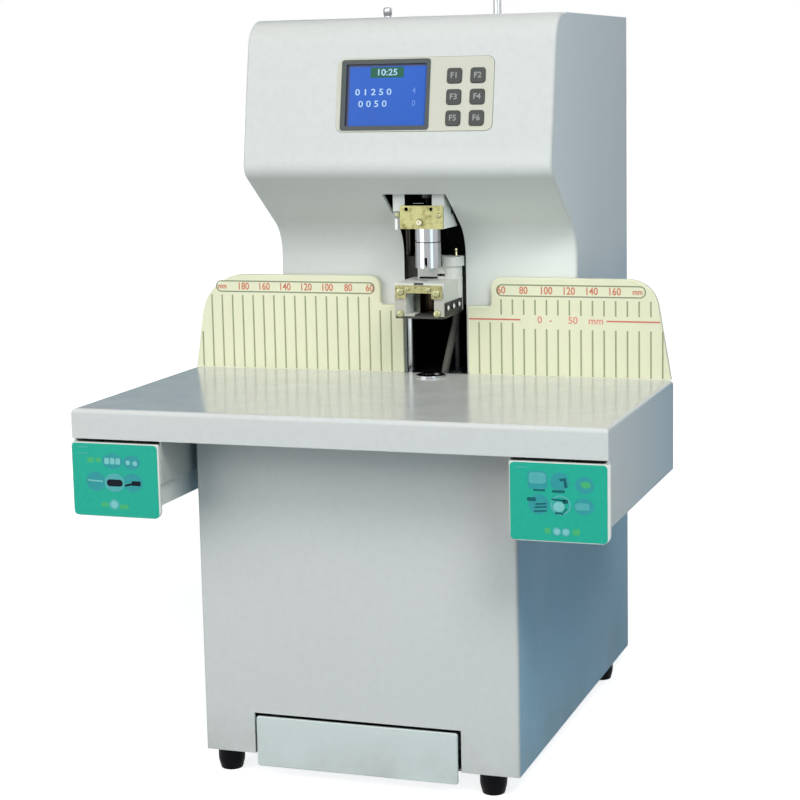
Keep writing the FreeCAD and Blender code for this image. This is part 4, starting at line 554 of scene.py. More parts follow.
# By node, in place of its slot's material.
OWN = {
    # The rear cover: blue-grey paint with painted shade below the table's height, and painted shade
    # on its inner face and louvre sills.
    "rear_cover": painted(
        "rear_cover_blue_grey_and_shade", BLUE_GREY_AND_SHADE, **BODY_PAINT,
        zones=[(upper_side, SIDE_WHITE), (inside_cover, PAINTED_SHADE, 0.02)]),
    # The head: painted light on its neck, lighter towards the right, and painted shade on the
    # slot's edge.
    "head_cover": painted(
        "head_shell_off_white", lin(208, 210, 206), 0.42, peel=0.3, wear=0.15,
        bare=lin(190, 192, 186), tone=0.008, upright=0.25,
        zones=[(lower_shell, lin(225, 228, 223)), (slot_edge, PAINTED_SHADE, 0.4)]),
    # The bracket: painted light on its right cheek, and painted shade behind the plate and where
    # the head's edge shades the cheek.
    "upper_bracket": painted(
        "bracket_enamel", lin(226, 228, 222), **CASTING, tone=0.05,
        zones=[(ear_foot, lin(158, 160, 156)), (ear_side, lin(250, 251, 247)),
               (ear_back, PAINTED_SHADE, 0.1), (ear_inside, PAINTED_SHADE, 0.1)]),
    # The drill, with painted shade above the presser's top.
    "hollow_drill": metal(
        "drill_steel", lin(120, 120, 118), 0.3, GROUND_UP, stain=0.2, zones=[(greased, PAINTED_SHADE)]),
    # The presser: painted shade on its rear, its window's sill and the pocket and slit in its top.
    "presser_block": painted(
        "presser_enamel", lin(216, 217, 210), **CASTING, tone=0.04,
        zones=[(post_front, lin(176, 174, 162)), (presser_back, lin(44, 44, 41), 0.2)]),
    "upper_die": metal(
        "die_chrome", lin(168, 166, 160), 0.24, DRAWN_UP, depth=0.6, stain=0.5,
        dark=lin(120, 110, 90), zones=[(die_bore, lin(58, 50, 42))]),
    # The columns, darker above the presser's top: painted shade.
    "guide_columns": metal(
        "column_steel", lin(176, 177, 176), 0.16, GROUND_UP, stain=0.2,
        zones=[(greased, lin(62, 62, 56))]),
    "presser_foot": metal("foot_black_oxide", lin(70, 70, 66), 0.30, GROUND_DEEP, stain=0.4),
    "presser_strip": metal(
        "worn_yellow_zinc", lin(150, 147, 106), 0.38, ROLLED_ACROSS, stain=1.0,
        dark=lin(84, 78, 40), cloud=300.0),
    "spindle_sleeve": metal(
        "sleeve_chrome", lin(168, 170, 172), 0.10, DRAWN_UP, depth=0.3, stain=0.08,
        zones=[(sleeve_seam, lin(74, 74, 72))]),
    # The frame plates made near black as painted shade of the inside of the head.
    "frame_plates": painted("frame_black_painted_shade", lin(30, 31, 33), 0.5, wear=0.4, upright=0.1),
    "drawer_rails": painted(
        "rail_enamel", lin(190, 191, 185), 0.4, peel=0.6, wear=0.4, tone=0.01),
    "chip_hose": rubbery(
        "hose_grey", lin(88, 88, 80), 0.6, spec=0.45, zones=[(hose_in_shade, lin(52, 52, 46))]),
    # The feed motor: black paint, made darker still as painted shade deep in the head's slot.
    "drill_feed_motor": painted(
        "feed_motor_black_and_shade", lin(12, 12, 13), 0.5, peel=1.5, wear=0.3, upright=0.05),
}
SLOT_OF = {s["node"]: s["material_slot"] for s in frame["record"]["subparts"]}
for node_name, node_object in NODES.items():
    node_object.data.materials.clear()
    node_object.data.materials.append(OWN.get(node_name) or MATERIALS[SLOT_OF[node_name]])


# -------- flat marks
SKIN = 0.12  # how far printed marks stand off what they are printed on, in mm
SUNK = 0.02  # how far they reach into it
OVAL_POINTS = 32
CHIP_R, CHIP_STEPS = 0.8, 3
FONT_STEPS = 3


class Plane:
    """A place to draw on: local u, v and outward w, in millimetres."""

    def __init__(self, origin, u, v, w):
        self.origin = Vector(origin)
        self.axes = (Vector(u), Vector(v), Vector(w))

    def point(self, u, v, w=0.0):
        """A point on the plane, in metres in the scene."""
        a, b, c = self.axes
        return self.origin + (a * u + b * v + c * w) * MM


def oval(u, v, ru, rv):
    """The outline of an oval, anticlockwise."""
    turns = [2 * math.pi * i / OVAL_POINTS for i in range(OVAL_POINTS)]
    return [(u + ru * math.cos(a), v + rv * math.sin(a)) for a in turns]


def rounded(u0, u1, v0, v1, r, steps=8):
    """The outline of a rounded rectangle, anticlockwise."""
    corners = ((u1 - r, v0 + r, -90), (u1 - r, v1 - r, 0),
               (u0 + r, v1 - r, 90), (u0 + r, v0 + r, 180))
    points = []
    for cu, cv, turn in corners:
        for i in range(steps + 1):
            a = math.radians(turn + 90.0 * i / steps)
            points.append((cu + r * math.cos(a), cv + r * math.sin(a)))
    return points


class Sheet:
    """Collects flat shapes on one plane into one thin mesh.

    They lie on the height base over the plane and stand lift over that.
    """

    def __init__(self, plane, lift=SKIN, base=0.0):
        self.plane = plane
        self.lift = lift
        self.base = base
        self.verts = []
        self.faces = []

    def outline(self, points):
        """A filled shape with a thickness; points run anticlockwise seen from outside."""
        start = len(self.verts)
        n = len(points)
        for w in (self.base - SUNK, self.base + self.lift):
            self.verts.extend(self.plane.point(u, v, w) for u, v in points)
        self.faces.append([start + n + i for i in range(n)])
        for i in range(n):
            j = (i + 1) % n
            self.faces.append([start + i, start + j, start + n + j, start + n + i])

    def ring(self, outer, inner):
        """The band between two outlines with equal counts of points."""
        n = len(outer)
        start = len(self.verts)
        for points, w in ((outer, -SUNK), (outer, self.lift), (inner, self.lift), (inner, -SUNK)):
            self.verts.extend(self.plane.point(u, v, self.base + w) for u, v in points)
        for k in range(3):
            for i in range(n):
                j = (i + 1) % n
                a = start + k * n
                self.faces.append([a + i, a + j, a + n + j, a + n + i])

    def bar(self, u0, u1, v0, v1):
        """An upright rectangle."""
        self.outline([(u0, v0), (u1, v0), (u1, v1), (u0, v1)])

    def pad(self, u0, u1, v0, v1, r, steps=8):
        """A rounded rectangle."""
        self.outline(rounded(u0, u1, v0, v1, r, steps))

    def chip(self, u0, u1, v0, v1):
        """A small rounded rectangle."""
        self.pad(u0, u1, v0, v1, CHIP_R, CHIP_STEPS)

    def disc(self, u, v, ru, rv=None):
        """A circle, or an oval."""
        self.outline(oval(u, v, ru, rv or ru))

    def stroke(self, a, b, width):
        """A straight line with a width."""
        du, dv = b[0] - a[0], b[1] - a[1]
        length = math.hypot(du, dv)
        nu, nv = -dv / length * width / 2, du / length * width / 2
        self.outline([(a[0] - nu, a[1] - nv), (b[0] - nu, b[1] - nv),
                      (b[0] + nu, b[1] + nv), (a[0] + nu, a[1] + nv)])

    def text(self, words, u, v, size, width, weight):
        """Digits, units or key names in Blender's own plain font, centred on (u, v)."""
        curve = bpy.data.curves.new("type", "FONT")
        curve.body = words
        curve.size = size
        curve.align_x = "CENTER"
        curve.align_y = "CENTER"
        curve.resolution_u = FONT_STEPS
        curve.extrude = self.lift / 2
        curve.offset = weight
        holder = bpy.data.objects.new("type", curve)
        mesh = bpy.data.meshes.new_from_object(holder)
        start = len(self.verts)
        middle = self.lift / 2
        for p in (vertex.co for vertex in mesh.vertices):
            self.verts.append(self.plane.point(u + p.x * width, v + p.y, self.base + p.z + middle))
        self.faces.extend([start + i for i in f.vertices] for f in mesh.polygons)
        bpy.data.objects.remove(holder)
        bpy.data.curves.remove(curve)
        bpy.data.meshes.remove(mesh)

    def make(self, name, body, material):
        """Ends the sheet and gives it to a body as one piece."""
        mesh = bpy.data.meshes.new(name)
        mesh.from_pydata(self.verts, [], self.faces)
        mesh.validate()
        return placed(name, mesh, body, material)


def placed(name, mesh, body, material, smooth=False):
    """A piece with one material that rides on a body."""
    piece = bpy.data.objects.new(name, mesh)
    bpy.context.scene.collection.objects.link(piece)
    mesh.materials.append(material)
    for polygon in mesh.polygons:
        polygon.use_smooth = smooth
    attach(piece, body)
    return piece


def drawn(name, sheet, body, material, *shapes):
    """Fills a sheet with shapes, each the name of one of its methods and the numbers for it."""
    for shape, *numbers in shapes:
        getattr(sheet, shape)(*numbers)
    sheet.make(name, body, material)


# -------- turned pieces
TURNED_POINTS = 40
SCREW_POINTS = 48
SCREW_TURN = 0.6  # how much further each screw of a set is turned, in radians
SCREW_SEAT = 0.2  # how far its head is let in, in mm
RECESS_SHARE = 0.5  # of the head's radius
RECESS_TAPER = 0.86
RECESS_DEPTH = 0.6  # of the head's height
ARM_WIDTH = 0.28  # half of a cross arm's width, of its length
CREASE = math.radians(38)
NEVER_ZERO = 1e-6


def lathe(verts, faces, loops, at, along, turn=0.0, cap=True):
    """Adds loops of (radius, height) points round an axis, in mm from base to tip, joined up."""
    spin = Vector(UPWARDS).rotation_difference(Vector(along)).to_matrix()
    start, count = len(verts), len(loops[0])
    for loop in loops:
        for i, (radius, height) in enumerate(loop):
            a = 2 * math.pi * i / count + turn
            p = Vector((radius * math.cos(a), radius * math.sin(a), height)) * MM
            verts.append(Vector(at) + spin @ p)
    for k in range(len(loops) - 1):
        for i in range(count):
            j = (i + 1) % count
            a = start + k * count
            faces.append([a + i, a + j, a + count + j, a + count + i])
    if cap:
        last = start + (len(loops) - 1) * count
        faces.append([last + i for i in range(count)])
        faces.append([start + i for i in reversed(range(count))])


def turned(name, profile, at, along, body, material, cap=True):
    """A turned piece: profile is (radius, height) in mm from base to tip."""
    verts, faces = [], []
    lathe(verts, faces, [[point] * TURNED_POINTS for point in profile], at, along, cap=cap)
    mesh = bpy.data.meshes.new(name)
    mesh.from_pydata(verts, [], faces)
    return placed(name, mesh, body, material, True)


def recess_reach(size, angle):
    """How far a cross recess reaches from its centre in one direction."""
    c, s = abs(math.cos(angle)), abs(math.sin(angle))
    arm, half = size, size * ARM_WIDTH
    flat = min(arm / max(c, NEVER_ZERO), half / max(s, NEVER_ZERO))
    tall = min(half / max(c, NEVER_ZERO), arm / max(s, NEVER_ZERO))
    return max(flat, tall)


def screw_set(name, places, along, radius, height, body, material):
    """Screw heads with a domed rim and a cross recess, all in one mesh."""
    turns = [2 * math.pi * i / SCREW_POINTS for i in range(SCREW_POINTS)]
    reaches = [recess_reach(radius * RECESS_SHARE, a) for a in turns]
    dome = ((1.0, -SCREW_SEAT), (1.0, height * 0.45), (0.93, height * 0.78), (0.74, height))
    loops = [[(radius * share, z)] * SCREW_POINTS for share, z in dome]
    loops.append([(r, height) for r in reaches])
    loops.append([(r * RECESS_TAPER, height - height * RECESS_DEPTH) for r in reaches])
    verts, faces = [], []
    for number, at in enumerate(places):
        lathe(verts, faces, loops, at, along, SCREW_TURN * number)
    mesh = bpy.data.meshes.new(name)
    mesh.from_pydata(verts, [], faces)
    piece = placed(name, mesh, body, material, True)
    piece.modifiers.new("creases", "EDGE_SPLIT").split_angle = CREASE


# -------- fences
# Places on the fences are in mm, across from the machine's middle and up from the table.
FENCE = Plane((0, FENCE_Y, TABLE_Z), RIGHTWARDS, UPWARDS, FORWARDS)
TICK_WIDTH = 1.35
TICK_PITCH = 10.0
TICK_FOOT, TICK_TOP = 0.6, 65.6
LEFT_TICKS, LEFT_START = 19, -210.5
LEFT_END, LEFT_END_TOP = -205, 32.0  # left of here a line stops at the fence's slant
LEFT_STEP, LEFT_STEP_TOP = -46, 54.0  # right of here a line stops at the fence's step
RIGHT_TICKS, RIGHT_START = 17, 39.5
RIGHT_STEP, RIGHT_END = 62, 205  # between these a line goes on above the limit line
OVER_LIMIT = 52.5
UNDER_LIMIT, UNDER_NUMBERS = 45.5, 40.5  # where the lower lines stop
NUMBERS_FROM = 84  # where the limit's numbers begin
CAPSULE_V, CAPSULE_R, CAPSULE_LINE = (68.0, 78.5), 5.2, 1.1
DIGITS_V = 73.2
DIGIT_STYLE = (8.9, 0.86, 0.16)  # size, width and weight of the type
UNIT_STYLE = (6.6, 0.86, 0.16)
LIMIT_STYLE = (8.2, 1.05, 0.14)
LEFT_ZERO, RIGHT_ZERO = 10.3, 9.6  # where each scale's own zero would be
RIGHT_SHRINK = 0.012  # how much closer than true the right scale's numbers are


def fence_ticks():
    """A line every 10 mm; on the right they are cut through by the limit line."""
    ticks = Sheet(FENCE)
    for i in range(LEFT_TICKS):
        u = LEFT_START + TICK_PITCH * i
        top = LEFT_END_TOP if u < LEFT_END else LEFT_STEP_TOP if u > LEFT_STEP else TICK_TOP
        ticks.stroke((u, TICK_FOOT), (u, top), TICK_WIDTH)
    ticks.make("left_fence_ticks", "chassis", MARKS["tick"])
    ticks = Sheet(FENCE)
    for i in range(1, RIGHT_TICKS + 1):
        u = RIGHT_START + TICK_PITCH * i
        if RIGHT_STEP < u < RIGHT_END:
            ticks.stroke((u, OVER_LIMIT), (u, TICK_TOP), TICK_WIDTH)
        top = UNDER_LIMIT if u < NUMBERS_FROM else UNDER_NUMBERS
        ticks.stroke((u, TICK_FOOT), (u, top), TICK_WIDTH)
    ticks.make("right_fence_ticks", "chassis", MARKS["tick"])


def fence_marks():
    """Scale lines, the capsule that holds the numbers, and the numbers on both fences."""
    fence_ticks()
    left = [("mm", -190.0)] + [(str(n), LEFT_ZERO - n) for n in range(180, 59, -20)]
    right = [(str(n), RIGHT_ZERO + n - RIGHT_SHRINK * (n - 60)) for n in range(60, 161, 20)]
    right.append(("mm", 188.2))
    for name, u0, u1, numbers in (("left", -196.2, -45.0, left), ("right", 65.2, 195.4, right)):
        v0, v1 = CAPSULE_V
        line = CAPSULE_LINE
        inside = rounded(u0 + line, u1 - line, v0 + line, v1 - line, CAPSULE_R - line)
        capsule = ("ring", rounded(u0, u1, v0, v1, CAPSULE_R), inside)
        drawn(name + "_fence_capsule", Sheet(FENCE), "chassis", MARKS["grey"], capsule)
        digits = Sheet(FENCE)
        for words, u in numbers:
            digits.text(words, u, DIGITS_V, *(DIGIT_STYLE if words.isdigit() else UNIT_STYLE))
        digits.make(name + "_fence_numbers", "chassis", MARKS["red"])

    drawn("right_fence_limit_line", Sheet(FENCE), "chassis", MARKS["line"],
          ("bar", 40.6, 86.5, 47.6, 48.9), ("bar", 161.5, 207.5, 47.6, 48.9))
    drawn("right_fence_limit_numbers", Sheet(FENCE), "chassis", MARKS["limit"],
          *(("text", word, u, 48.2, *LIMIT_STYLE)
            for word, u in (("0", 103.5), ("-", 113.0), ("50", 132.5), ("mm", 152.5))))


# -------- control panel
FACE_LEAN = math.radians(10.7)
FACE = Plane(
    (0, -0.056, 0.4874),
    RIGHTWARDS,
    (0, math.sin(FACE_LEAN), math.cos(FACE_LEAN)),
    (0, -math.cos(FACE_LEAN), math.sin(FACE_LEAN)),
)
GLASS, KEY_TOP = -0.9, 1.7  # the heights of the display's glass and the keys, over the face
KEY_ROWS, KEY_COLUMNS = (79.0, 61.6, 44.2), (50.3, 70.3)
KEY_STYLE = (6.6, 1.05, 0.12)
TIME_STYLE = (7.4, 1.15, 0.1)
COUNT_STYLE = (7.4, 1.2, 0.1)
VALUE_STYLE = (7.0, 0.9, 0.06)


def panel_marks():
    """The display's picture and the legends on the keys."""
    for name, lift, ink, *shapes in (
        ("display_title_bar", 0.10, "title", ("bar", -23.0, 6.0, 78.8, 87.4)),
        ("display_numbers", 0.14, "glow",
         ("text", "10:25", -8.6, 83.0, *TIME_STYLE),
         ("text", "0 1 2 5 0", -20.0, 66.8, *COUNT_STYLE),
         ("text", "0 0 5 0", -20.4, 57.0, *COUNT_STYLE)),
        # Painted shadow along the screen's left and top edges, under the bezel.
        ("display_painted_shadow_edge", 0.06, "shadow",
         ("bar", -44.0, -41.2, 38.0, 90.0), ("bar", -41.2, 25.5, 88.2, 90.0)),
        ("display_values", 0.12, "glow_dim",
         ("text", "4", 15.5, 67.6, *VALUE_STYLE), ("text", "0", 15.5, 57.2, *VALUE_STYLE)),
    ):
        drawn(name, Sheet(FACE, lift, GLASS), "chassis", MARKS[ink], *shapes)
    places = [(u, v) for v in KEY_ROWS for u in KEY_COLUMNS]
    for number, (u, v) in enumerate(places, 1):
        drawn("key_%d_legend" % number, Sheet(FACE, 0.10, KEY_TOP), "key_%d" % number,
              MARKS["key"], ("text", "F%d" % number, u, v, *KEY_STYLE))


# -------- drawer labels
DRAWERS = Plane((0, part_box("left_drawer")[0].y, 0), RIGHTWARDS, UPWARDS, FORWARDS)
FILM, INK = 0.20, 0.04  # the thickness of the film and of a layer of ink
LABEL_Z, LABEL_R = (224.0, 282.5), 3.0
LABEL_LEFT = 0.5  # how far the film keeps from the drawer's left edge, and from its right one
LABEL_RIGHT = {"left": 1.3, "right": 2.0}
# Each layer: its name, its ink, how many layers are under it, and its shapes in millimetres.
LEFT_LABEL = (
    ("pads", "label_blue", 0,
     ("disc", -183.9, 268.6, 9.0, 6.2), ("disc", -167.0, 268.2, 7.6, 5.8),
     ("disc", -199.0, 252.0, 8.6, 8.0), ("disc", -166.6, 252.0, 8.8, 7.6)),
    ("lime_marks", "label_lime", 0,
     ("chip", -206.0, -200.0, 267.0, 271.2), ("chip", -198.4, -193.6, 267.4, 271.2),
     ("chip", -195.0, -188.6, 231.6, 235.2), ("chip", -178.6, -171.0, 230.2, 234.0)),
    ("glow", "label_glow", 1,
     ("disc", -182.6, 251.4, 8.8, 7.4), ("disc", -183.6, 233.6, 4.6, 4.2),
     ("bar", -214.2, -205.5, 279.0, 279.7), ("bar", -214.2, -205.5, 274.2, 274.8)),
    ("pale_icons", "label_pale", 2,
     ("chip", -190.8, -186.8, 266.2, 271.2), ("chip", -185.9, -181.9, 266.2, 271.2),
     ("chip", -181.0, -177.0, 266.2, 271.2), ("disc", -170.2, 268.0, 1.9),
     ("disc", -164.0, 267.6, 2.0), ("disc", -183.6, 233.6, 3.0),
     ("stroke", (-206.0, 252.6), (-193.0, 252.0), 1.0)),
    ("dark_icons", "label_black", 3,
     ("pad", -189.4, -175.4, 248.4, 254.0, 2.7, 6),
     ("stroke", (-173.4, 249.4), (-166.5, 251.0), 1.6),
     ("pad", -167.4, -159.6, 249.6, 253.4, 0.9, 3)),
)
RIGHT_LABEL = (
    ("pads", "label_blue", 0,
     ("pad", 157.2, 172.4, 262.6, 276.4, 3.4), ("disc", 181.8, 269.0, 7.4, 7.0),
     ("disc", 165.8, 251.4, 8.0, 7.8), ("disc", 200.0, 251.2, 7.6, 6.4),
     ("disc", 200.6, 267.0, 7.2, 6.4)),
    ("lime_marks", "label_lime", 1,
     ("disc", 201.4, 267.4, 3.8, 2.6), ("chip", 170.0, 174.6, 229.6, 234.0),
     ("chip", 191.4, 197.0, 229.2, 234.0)),
    ("glow", "label_glow", 2,
     ("ring", oval(182.4, 251.4, 7.8, 7.6), oval(182.4, 251.4, 6.4, 6.2)),
     ("pad", 158.2, 171.4, 267.0, 275.4, 2.4, 4), ("disc", 179.4, 231.4, 3.2),
     ("disc", 186.2, 231.2, 3.2), ("pad", 193.4, 204.2, 248.4, 253.6, 1.6, 3),
     ("bar", 148.4, 156.6, 278.6, 279.3)),
    ("pale_icons", "label_pale", 3,
     ("disc", 179.4, 231.4, 2.4), ("disc", 186.2, 231.2, 2.4),
     ("disc", 181.0, 250.2, 4.4, 3.8)),
    ("dark_icons", "label_dark", 4,
     ("outline", [(185.2, 264.8), (187.8, 264.8), (186.4, 272.0),
                  (181.4, 271.2), (182.2, 269.4), (185.0, 269.6)]),
     ("bar", 176.0, 185.6, 260.8, 262.6), ("bar", 161.6, 170.6, 261.4, 262.8),
     ("chip", 156.8, 163.6, 253.6, 256.4),
     ("stroke", (163.4, 251.4), (171.6, 252.2), 1.1),
     ("stroke", (162.6, 249.0), (171.6, 249.8), 1.1),
     ("stroke", (162.0, 246.0), (171.6, 246.8), 1.1),
     ("stroke", (175.6, 255.6), (186.0, 255.0), 1.3),
     ("chip", 184.0, 188.0, 252.8, 255.8),
     ("stroke", (178.0, 245.4), (184.6, 245.0), 1.4),
     ("stroke", (184.6, 245.8), (187.0, 249.0), 1.0)),
)
LABELS = {"left": LEFT_LABEL, "right": RIGHT_LABEL}


def drawer_labels():
    """A green film on each drawer front, with plain pictures of spare tools."""
    for side in LABELS:
        low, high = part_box(side + "_drawer")
        u0, u1 = low.x / MM + LABEL_LEFT, high.x / MM - LABEL_RIGHT[side]
        drawn(side + "_drawer_label", Sheet(DRAWERS, FILM), side + "_drawer", MARKS["label"],
              ("pad", u0, u1, *LABEL_Z, LABEL_R))
    for side, layers in LABELS.items():
        for name, ink, level, *shapes in layers:
            drawn(side + "_label_" + name, Sheet(DRAWERS, INK, FILM + INK * level),
                  side + "_drawer", MARKS[ink], *shapes)


# -------- fastenings and trim
# Places are in metres, sizes of heads and profiles in millimetres.
def bracket_trim():
    """The screws in the zinc plate and the bracket's ear, and the white pin beside the plate."""
    plate_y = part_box("bracket_plate")[0].y
    ear_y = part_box("upper_bracket")[0].y
    for name, place in (("bracket_plate_screws", (0.0283, plate_y, 0.4498)),
                        ("bracket_ear_screw", (-0.0088, ear_y, 0.4502))):
        screw_set(name, [place], FORWARDS, 2.2, 1.2, "chassis", ZINC_SCREW)
    ear = Plane((0, ear_y, 0), RIGHTWARDS, UPWARDS, FORWARDS)
    drawn("bracket_ear_pin", Sheet(ear, 0.7), "chassis", CERAMIC,
          ("pad", -11.2, -8.8, 437.6, 447.0, 1.1))
    screw_set("bracket_pan_screw", [(0.0110, plate_y, 0.4440)], FORWARDS, 3.0, 2.3, "chassis",
              CREAM_SCREW)


def presser_trim():
    """The screws round the presser's window, the brass pin and the heater's terminal beads."""
    low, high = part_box("presser_strip")
    strip_y = low.y
    block_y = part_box("presser_block")[0].y
    middle = (low.z + high.z) / 2
    left, right = low.x + 0.0046, high.x - 0.0046
    for name, places, radius, height in (
        ("presser_strip_screws",
         [(left, strip_y, middle + 0.0002), (right - 0.0006, strip_y, middle - 0.0012)], 3.3, 1.5),
        ("presser_strip_small_screws",
         [(left + 0.0062, strip_y, high.z - 0.0030), (right - 0.0072, strip_y, high.z - 0.0034)],
         2.0, 1.2),
        ("presser_corner_screws",
         [(left - 0.0006, block_y, 0.3668), (right - 0.0004, block_y, 0.3672)], 3.2, 1.4),
    ):
        screw_set(name, places, FORWARDS, radius, height, "presser", ZINC_SCREW)
    post_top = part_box("presser_block")[1].z
    pin = [(1.3, -0.3), (1.3, 1.6), (0.9, 1.8), (0.9, 4.6), (1.2, 4.8), (1.2, 6.4), (0.8, 6.9)]
    turned("brass_pin", pin, (0.0297, 0.0205, post_top), UPWARDS, "presser", BRASS)
    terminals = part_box("heater_terminals")[1]
    bead = [(2.3, -1.2), (2.3, -0.3), (1.8, 0.5), (0.9, 0.8), (0.9, 0.2)]
    for number, y in enumerate((-0.0205, -0.005, 0.0105)):
        turned("terminal_bead_%d" % number, bead, (terminals.x, y, 0.372), RIGHTWARDS,
               "presser", CERAMIC)


def top_trim():
    """The knob and the tube's grommet on the head's top."""
    knob = [(5.2, -0.2), (5.2, 1.6), (4.4, 2.2), (3.2, 2.4), (3.2, 4.2), (3.8, 4.6), (3.8, 9.6),
            (3.0, 10.8), (1.2, 11.2)]
    turned("top_knob", knob, (-0.0485, 0.0795, HEAD_TOP), UPWARDS, "chassis", STEEL_SCREW)
    grommet = [(6.6, -0.2), (6.6, 0.8), (6.0, 1.6), (4.6, 1.9), (3.55, 1.9)]
    turned("tube_grommet", grommet, (0.0465, 0.0995, HEAD_TOP), UPWARDS, "chassis",
           MATERIALS["black_rubber"], cap=False)


def rear_trim():
    """The screws of the rear cover and of the mains inlet in it."""
    low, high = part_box("power_inlet")
    flange = 0.0016
    places = [(side * 0.1255, high.y - flange, z)
              for side in (-1, 1) for z in (0.040, 0.225, 0.410, 0.595)]
    screw_set("rear_cover_screws", places, REARWARDS, 3.2, 1.7, "chassis", STEEL_SCREW)
    middle = (low.z + high.z) / 2
    places = [(x, high.y, middle) for x in (low.x + 0.0022, high.x - 0.0022)]
    screw_set("inlet_screws", places, REARWARDS, 1.5, 0.3, "chassis", BLACK_SCREW)


# -------- camera
CAMERA_AT = (0.5484, -1.6317, 0.5669)
CAMERA_LENS = 90.8
CAMERA_SENSOR = 36.0
CAMERA_FAR = 50.0
AZIMUTH, DROP, ROLL = (math.radians(a) for a in (19.114, 9.158, -1.197))


def make_camera():
    """The photograph's camera."""
    data = bpy.data.cameras.new("photo_camera")
    data.sensor_width = CAMERA_SENSOR
    data.lens = CAMERA_LENS
    data.clip_end = CAMERA_FAR
    camera = bpy.data.objects.new("photo_camera", data)
    bpy.context.scene.collection.objects.link(camera)
    across = math.cos(DROP)
    ahead = Vector((-math.sin(AZIMUTH) * across, math.cos(AZIMUTH) * across, -math.sin(DROP)))
    level = Vector((math.cos(AZIMUTH), math.sin(AZIMUTH), 0))
    up = level.cross(ahead)
    right = level * math.cos(ROLL) + up * math.sin(ROLL)
    up = right.cross(ahead)
    turn = Matrix((right, up, -ahead)).transposed()
    camera.matrix_world = Matrix.Translation(CAMERA_AT) @ turn.to_4x4()
    bpy.context.scene.camera = camera


# -------- lights, floor
# The light from each side of the room: left and right, front and back, below and above.
ROOM = (
    ((0.30, 0.33, 0.36, 1.0), (0.00, 0.01, 0.03, 1.0)),
    ((0.05, 0.05, 0.05, 1.0), (0.56, 0.57, 0.59, 1.0)),
    ((0.03, 0.03, 0.03, 1.0), (0.05, 0.05, 0.06, 1.0)),
)
FLOOR_HALF = 30  # half of the floor's width, in metres
FLOOR_BOUNCE = (0.26, 0.30, 0.34, 1.0)  # the floor's colour in the light that it gives back
FLOOR_SEEN = (0.62, 0.63, 0.64, 1.0)  # and where it is looked at
FLOOR_GRAIN = (0.98, 0.98, 0.98, 1.0)
FLOOR_GLOW = 0.74  # how much it glows under the object; far off it is 1
FLOOR_FADE = (0.55, 1.3)  # where that changes, in metres from the middle
FLAG = (-2.4, -0.30, 0.20, 1.7, 1.0)  # left, right, low, high, and how far behind
FLAG_COLOUR = (0.03, 0.14, 0.23, 1.0)
# Each lamp: name, place, what it aims at, width and height, power and colour.
NEUTRAL = (1, 1, 1)
LAMPS = (
    ("left_softbox", (-1.16, -1.38, 0.9), (0, 0, 0.5), (1.3, 1.7), 17.5, NEUTRAL),
    ("right_softbox", (1.30, -1.25, 0.9), (0, 0, 0.5), (0.75, 1.7), 7.2, (0.66, 0.90, 1.0)),
    ("near_softbox", (0.9, -1.1, 1.6), (0.1, 0, 0.4), (0.6, 0.6), 15.0, (1.0, 0.985, 0.97)),
    ("top_softbox", (0.0, -1.2, 2.3), (0, -0.1, 0.3), (1.6, 1.2), 7, NEUTRAL),
    ("camera_softbox", (0.5, -2.6, 1.7), (0, 0, 0.36), (1.0, 1.0), 10.5, NEUTRAL),
)


def area_light(name, at, toward, size, power, colour):
    """A rectangular lamp aimed at a point."""
    data = bpy.data.lights.new(name, "AREA")
    data.shape = "RECTANGLE"
    data.size, data.size_y = size
    data.energy = power
    data.color = colour
    lamp = bpy.data.objects.new(name, data)
    bpy.context.scene.collection.objects.link(lamp)
    lamp.location = at
    lamp.rotation_mode = "QUATERNION"
    lamp.rotation_quaternion = (Vector(toward) - Vector(at)).to_track_quat("-Z", "Y")


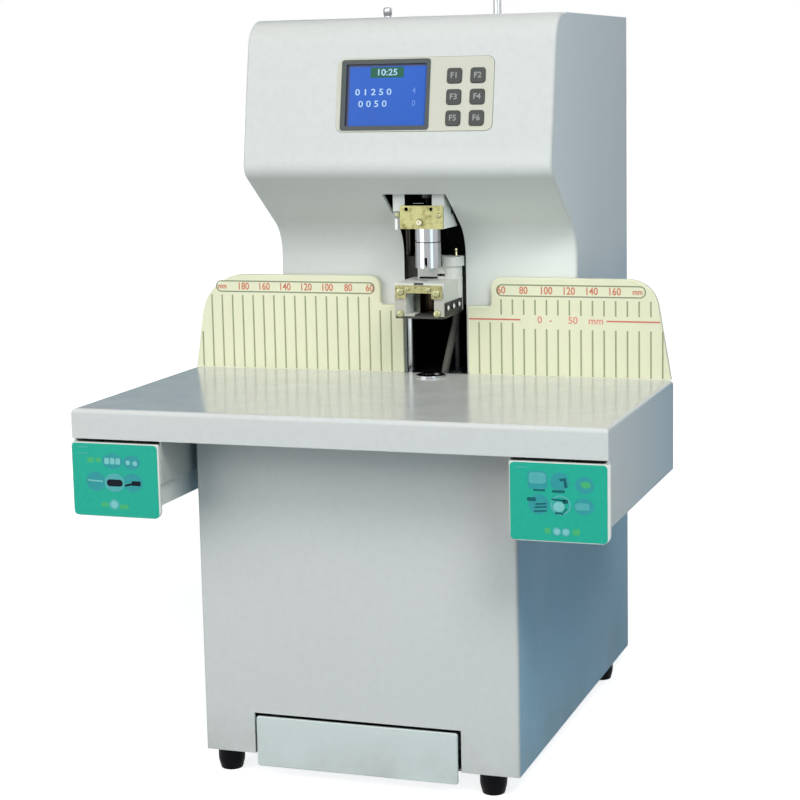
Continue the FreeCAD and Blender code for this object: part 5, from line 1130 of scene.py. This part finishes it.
def make_world():
    """White where it is seen; as light on surfaces, each side of the room has its own colour."""
    world = bpy.data.worlds.new("studio")
    bpy.context.scene.world = world
    world.use_nodes = True
    t = Tree(world.node_tree)
    toward = t.node("ShaderNodeTexCoord").outputs["Generated"]
    total = (0.0, 0.0, 0.0)
    for axis, (low, high) in zip("XYZ", ROOM):
        reach = t.part(toward, axis)
        side = t.mix(t.math("GREATER_THAN", reach, 0.0), low, high)
        scaled = t.mix(t.times(reach, reach), BLACK, side)
        total = t.vector("ADD", total, scaled)
    seen = t.mix(t.seen_directly(), total, WHITE)
    t.link(seen, t.tree.nodes["Background"].inputs["Color"])


def card(name, corners, material):
    """A flat piece of the studio with four corners."""
    mesh = bpy.data.meshes.new(name)
    mesh.from_pydata(corners, [], [(0, 1, 2, 3)])
    mesh.materials.append(material)
    made = bpy.data.objects.new(name, mesh)
    bpy.context.scene.collection.objects.link(made)
    return made


def make_floor():
    """A pale floor: white where it is seen, with the object's soft shadow near its feet."""
    s = Shader("studio_floor")
    s.set("Roughness", 0.7)
    s.set("Specular IOR Level", 0.1)
    seen = s.seen_directly()
    grain = s.mix(s.spread(s.noise(3.0, 2.0), 0.98, 1.0), FLOOR_GRAIN, WHITE)
    s.colour(s.darker(s.mix(seen, FLOOR_BOUNCE, FLOOR_SEEN), grain))
    far = s.ranged(s.length(s.coords), *FLOOR_FADE, FLOOR_GLOW, 1.0)
    s.link(s.times(far, seen), s.bsdf.inputs["Emission Strength"])
    s.set("Emission Color", WHITE)
    h = FLOOR_HALF
    corners = [(-h, -h, 0), (h, -h, 0), (h, h, 0), (-h, h, 0)]
    floor = card("studio_floor", corners, s.finished())


def make_flag():
    """A dark card behind on the left, met by reflections alone: the table's left end mirrors it."""
    s = Shader("studio_flag")
    s.set("Roughness", 0.9)
    s.set("Base Color", BLACK)
    s.set("Specular IOR Level", 0.0)
    s.set("Emission Color", FLAG_COLOUR)
    s.set("Emission Strength", 1.0)
    left, right, low, high, behind = FLAG
    corners = [(x, behind, z) for x, z in ((left, low), (right, low), (right, high), (left, high))]
    flag = card("studio_flag", corners, s.finished())
    for ray in ("camera", "diffuse", "transmission", "shadow", "volume_scatter"):
        setattr(flag, "visible_" + ray, False)


make_camera()
make_world()
make_floor()
make_flag()
for lamp_facts in LAMPS:
    area_light(*lamp_facts)
fence_marks()
panel_marks()
drawer_labels()
bracket_trim()
presser_trim()
top_trim()
rear_trim()
bpy.context.scene.view_settings.view_transform = "Standard"
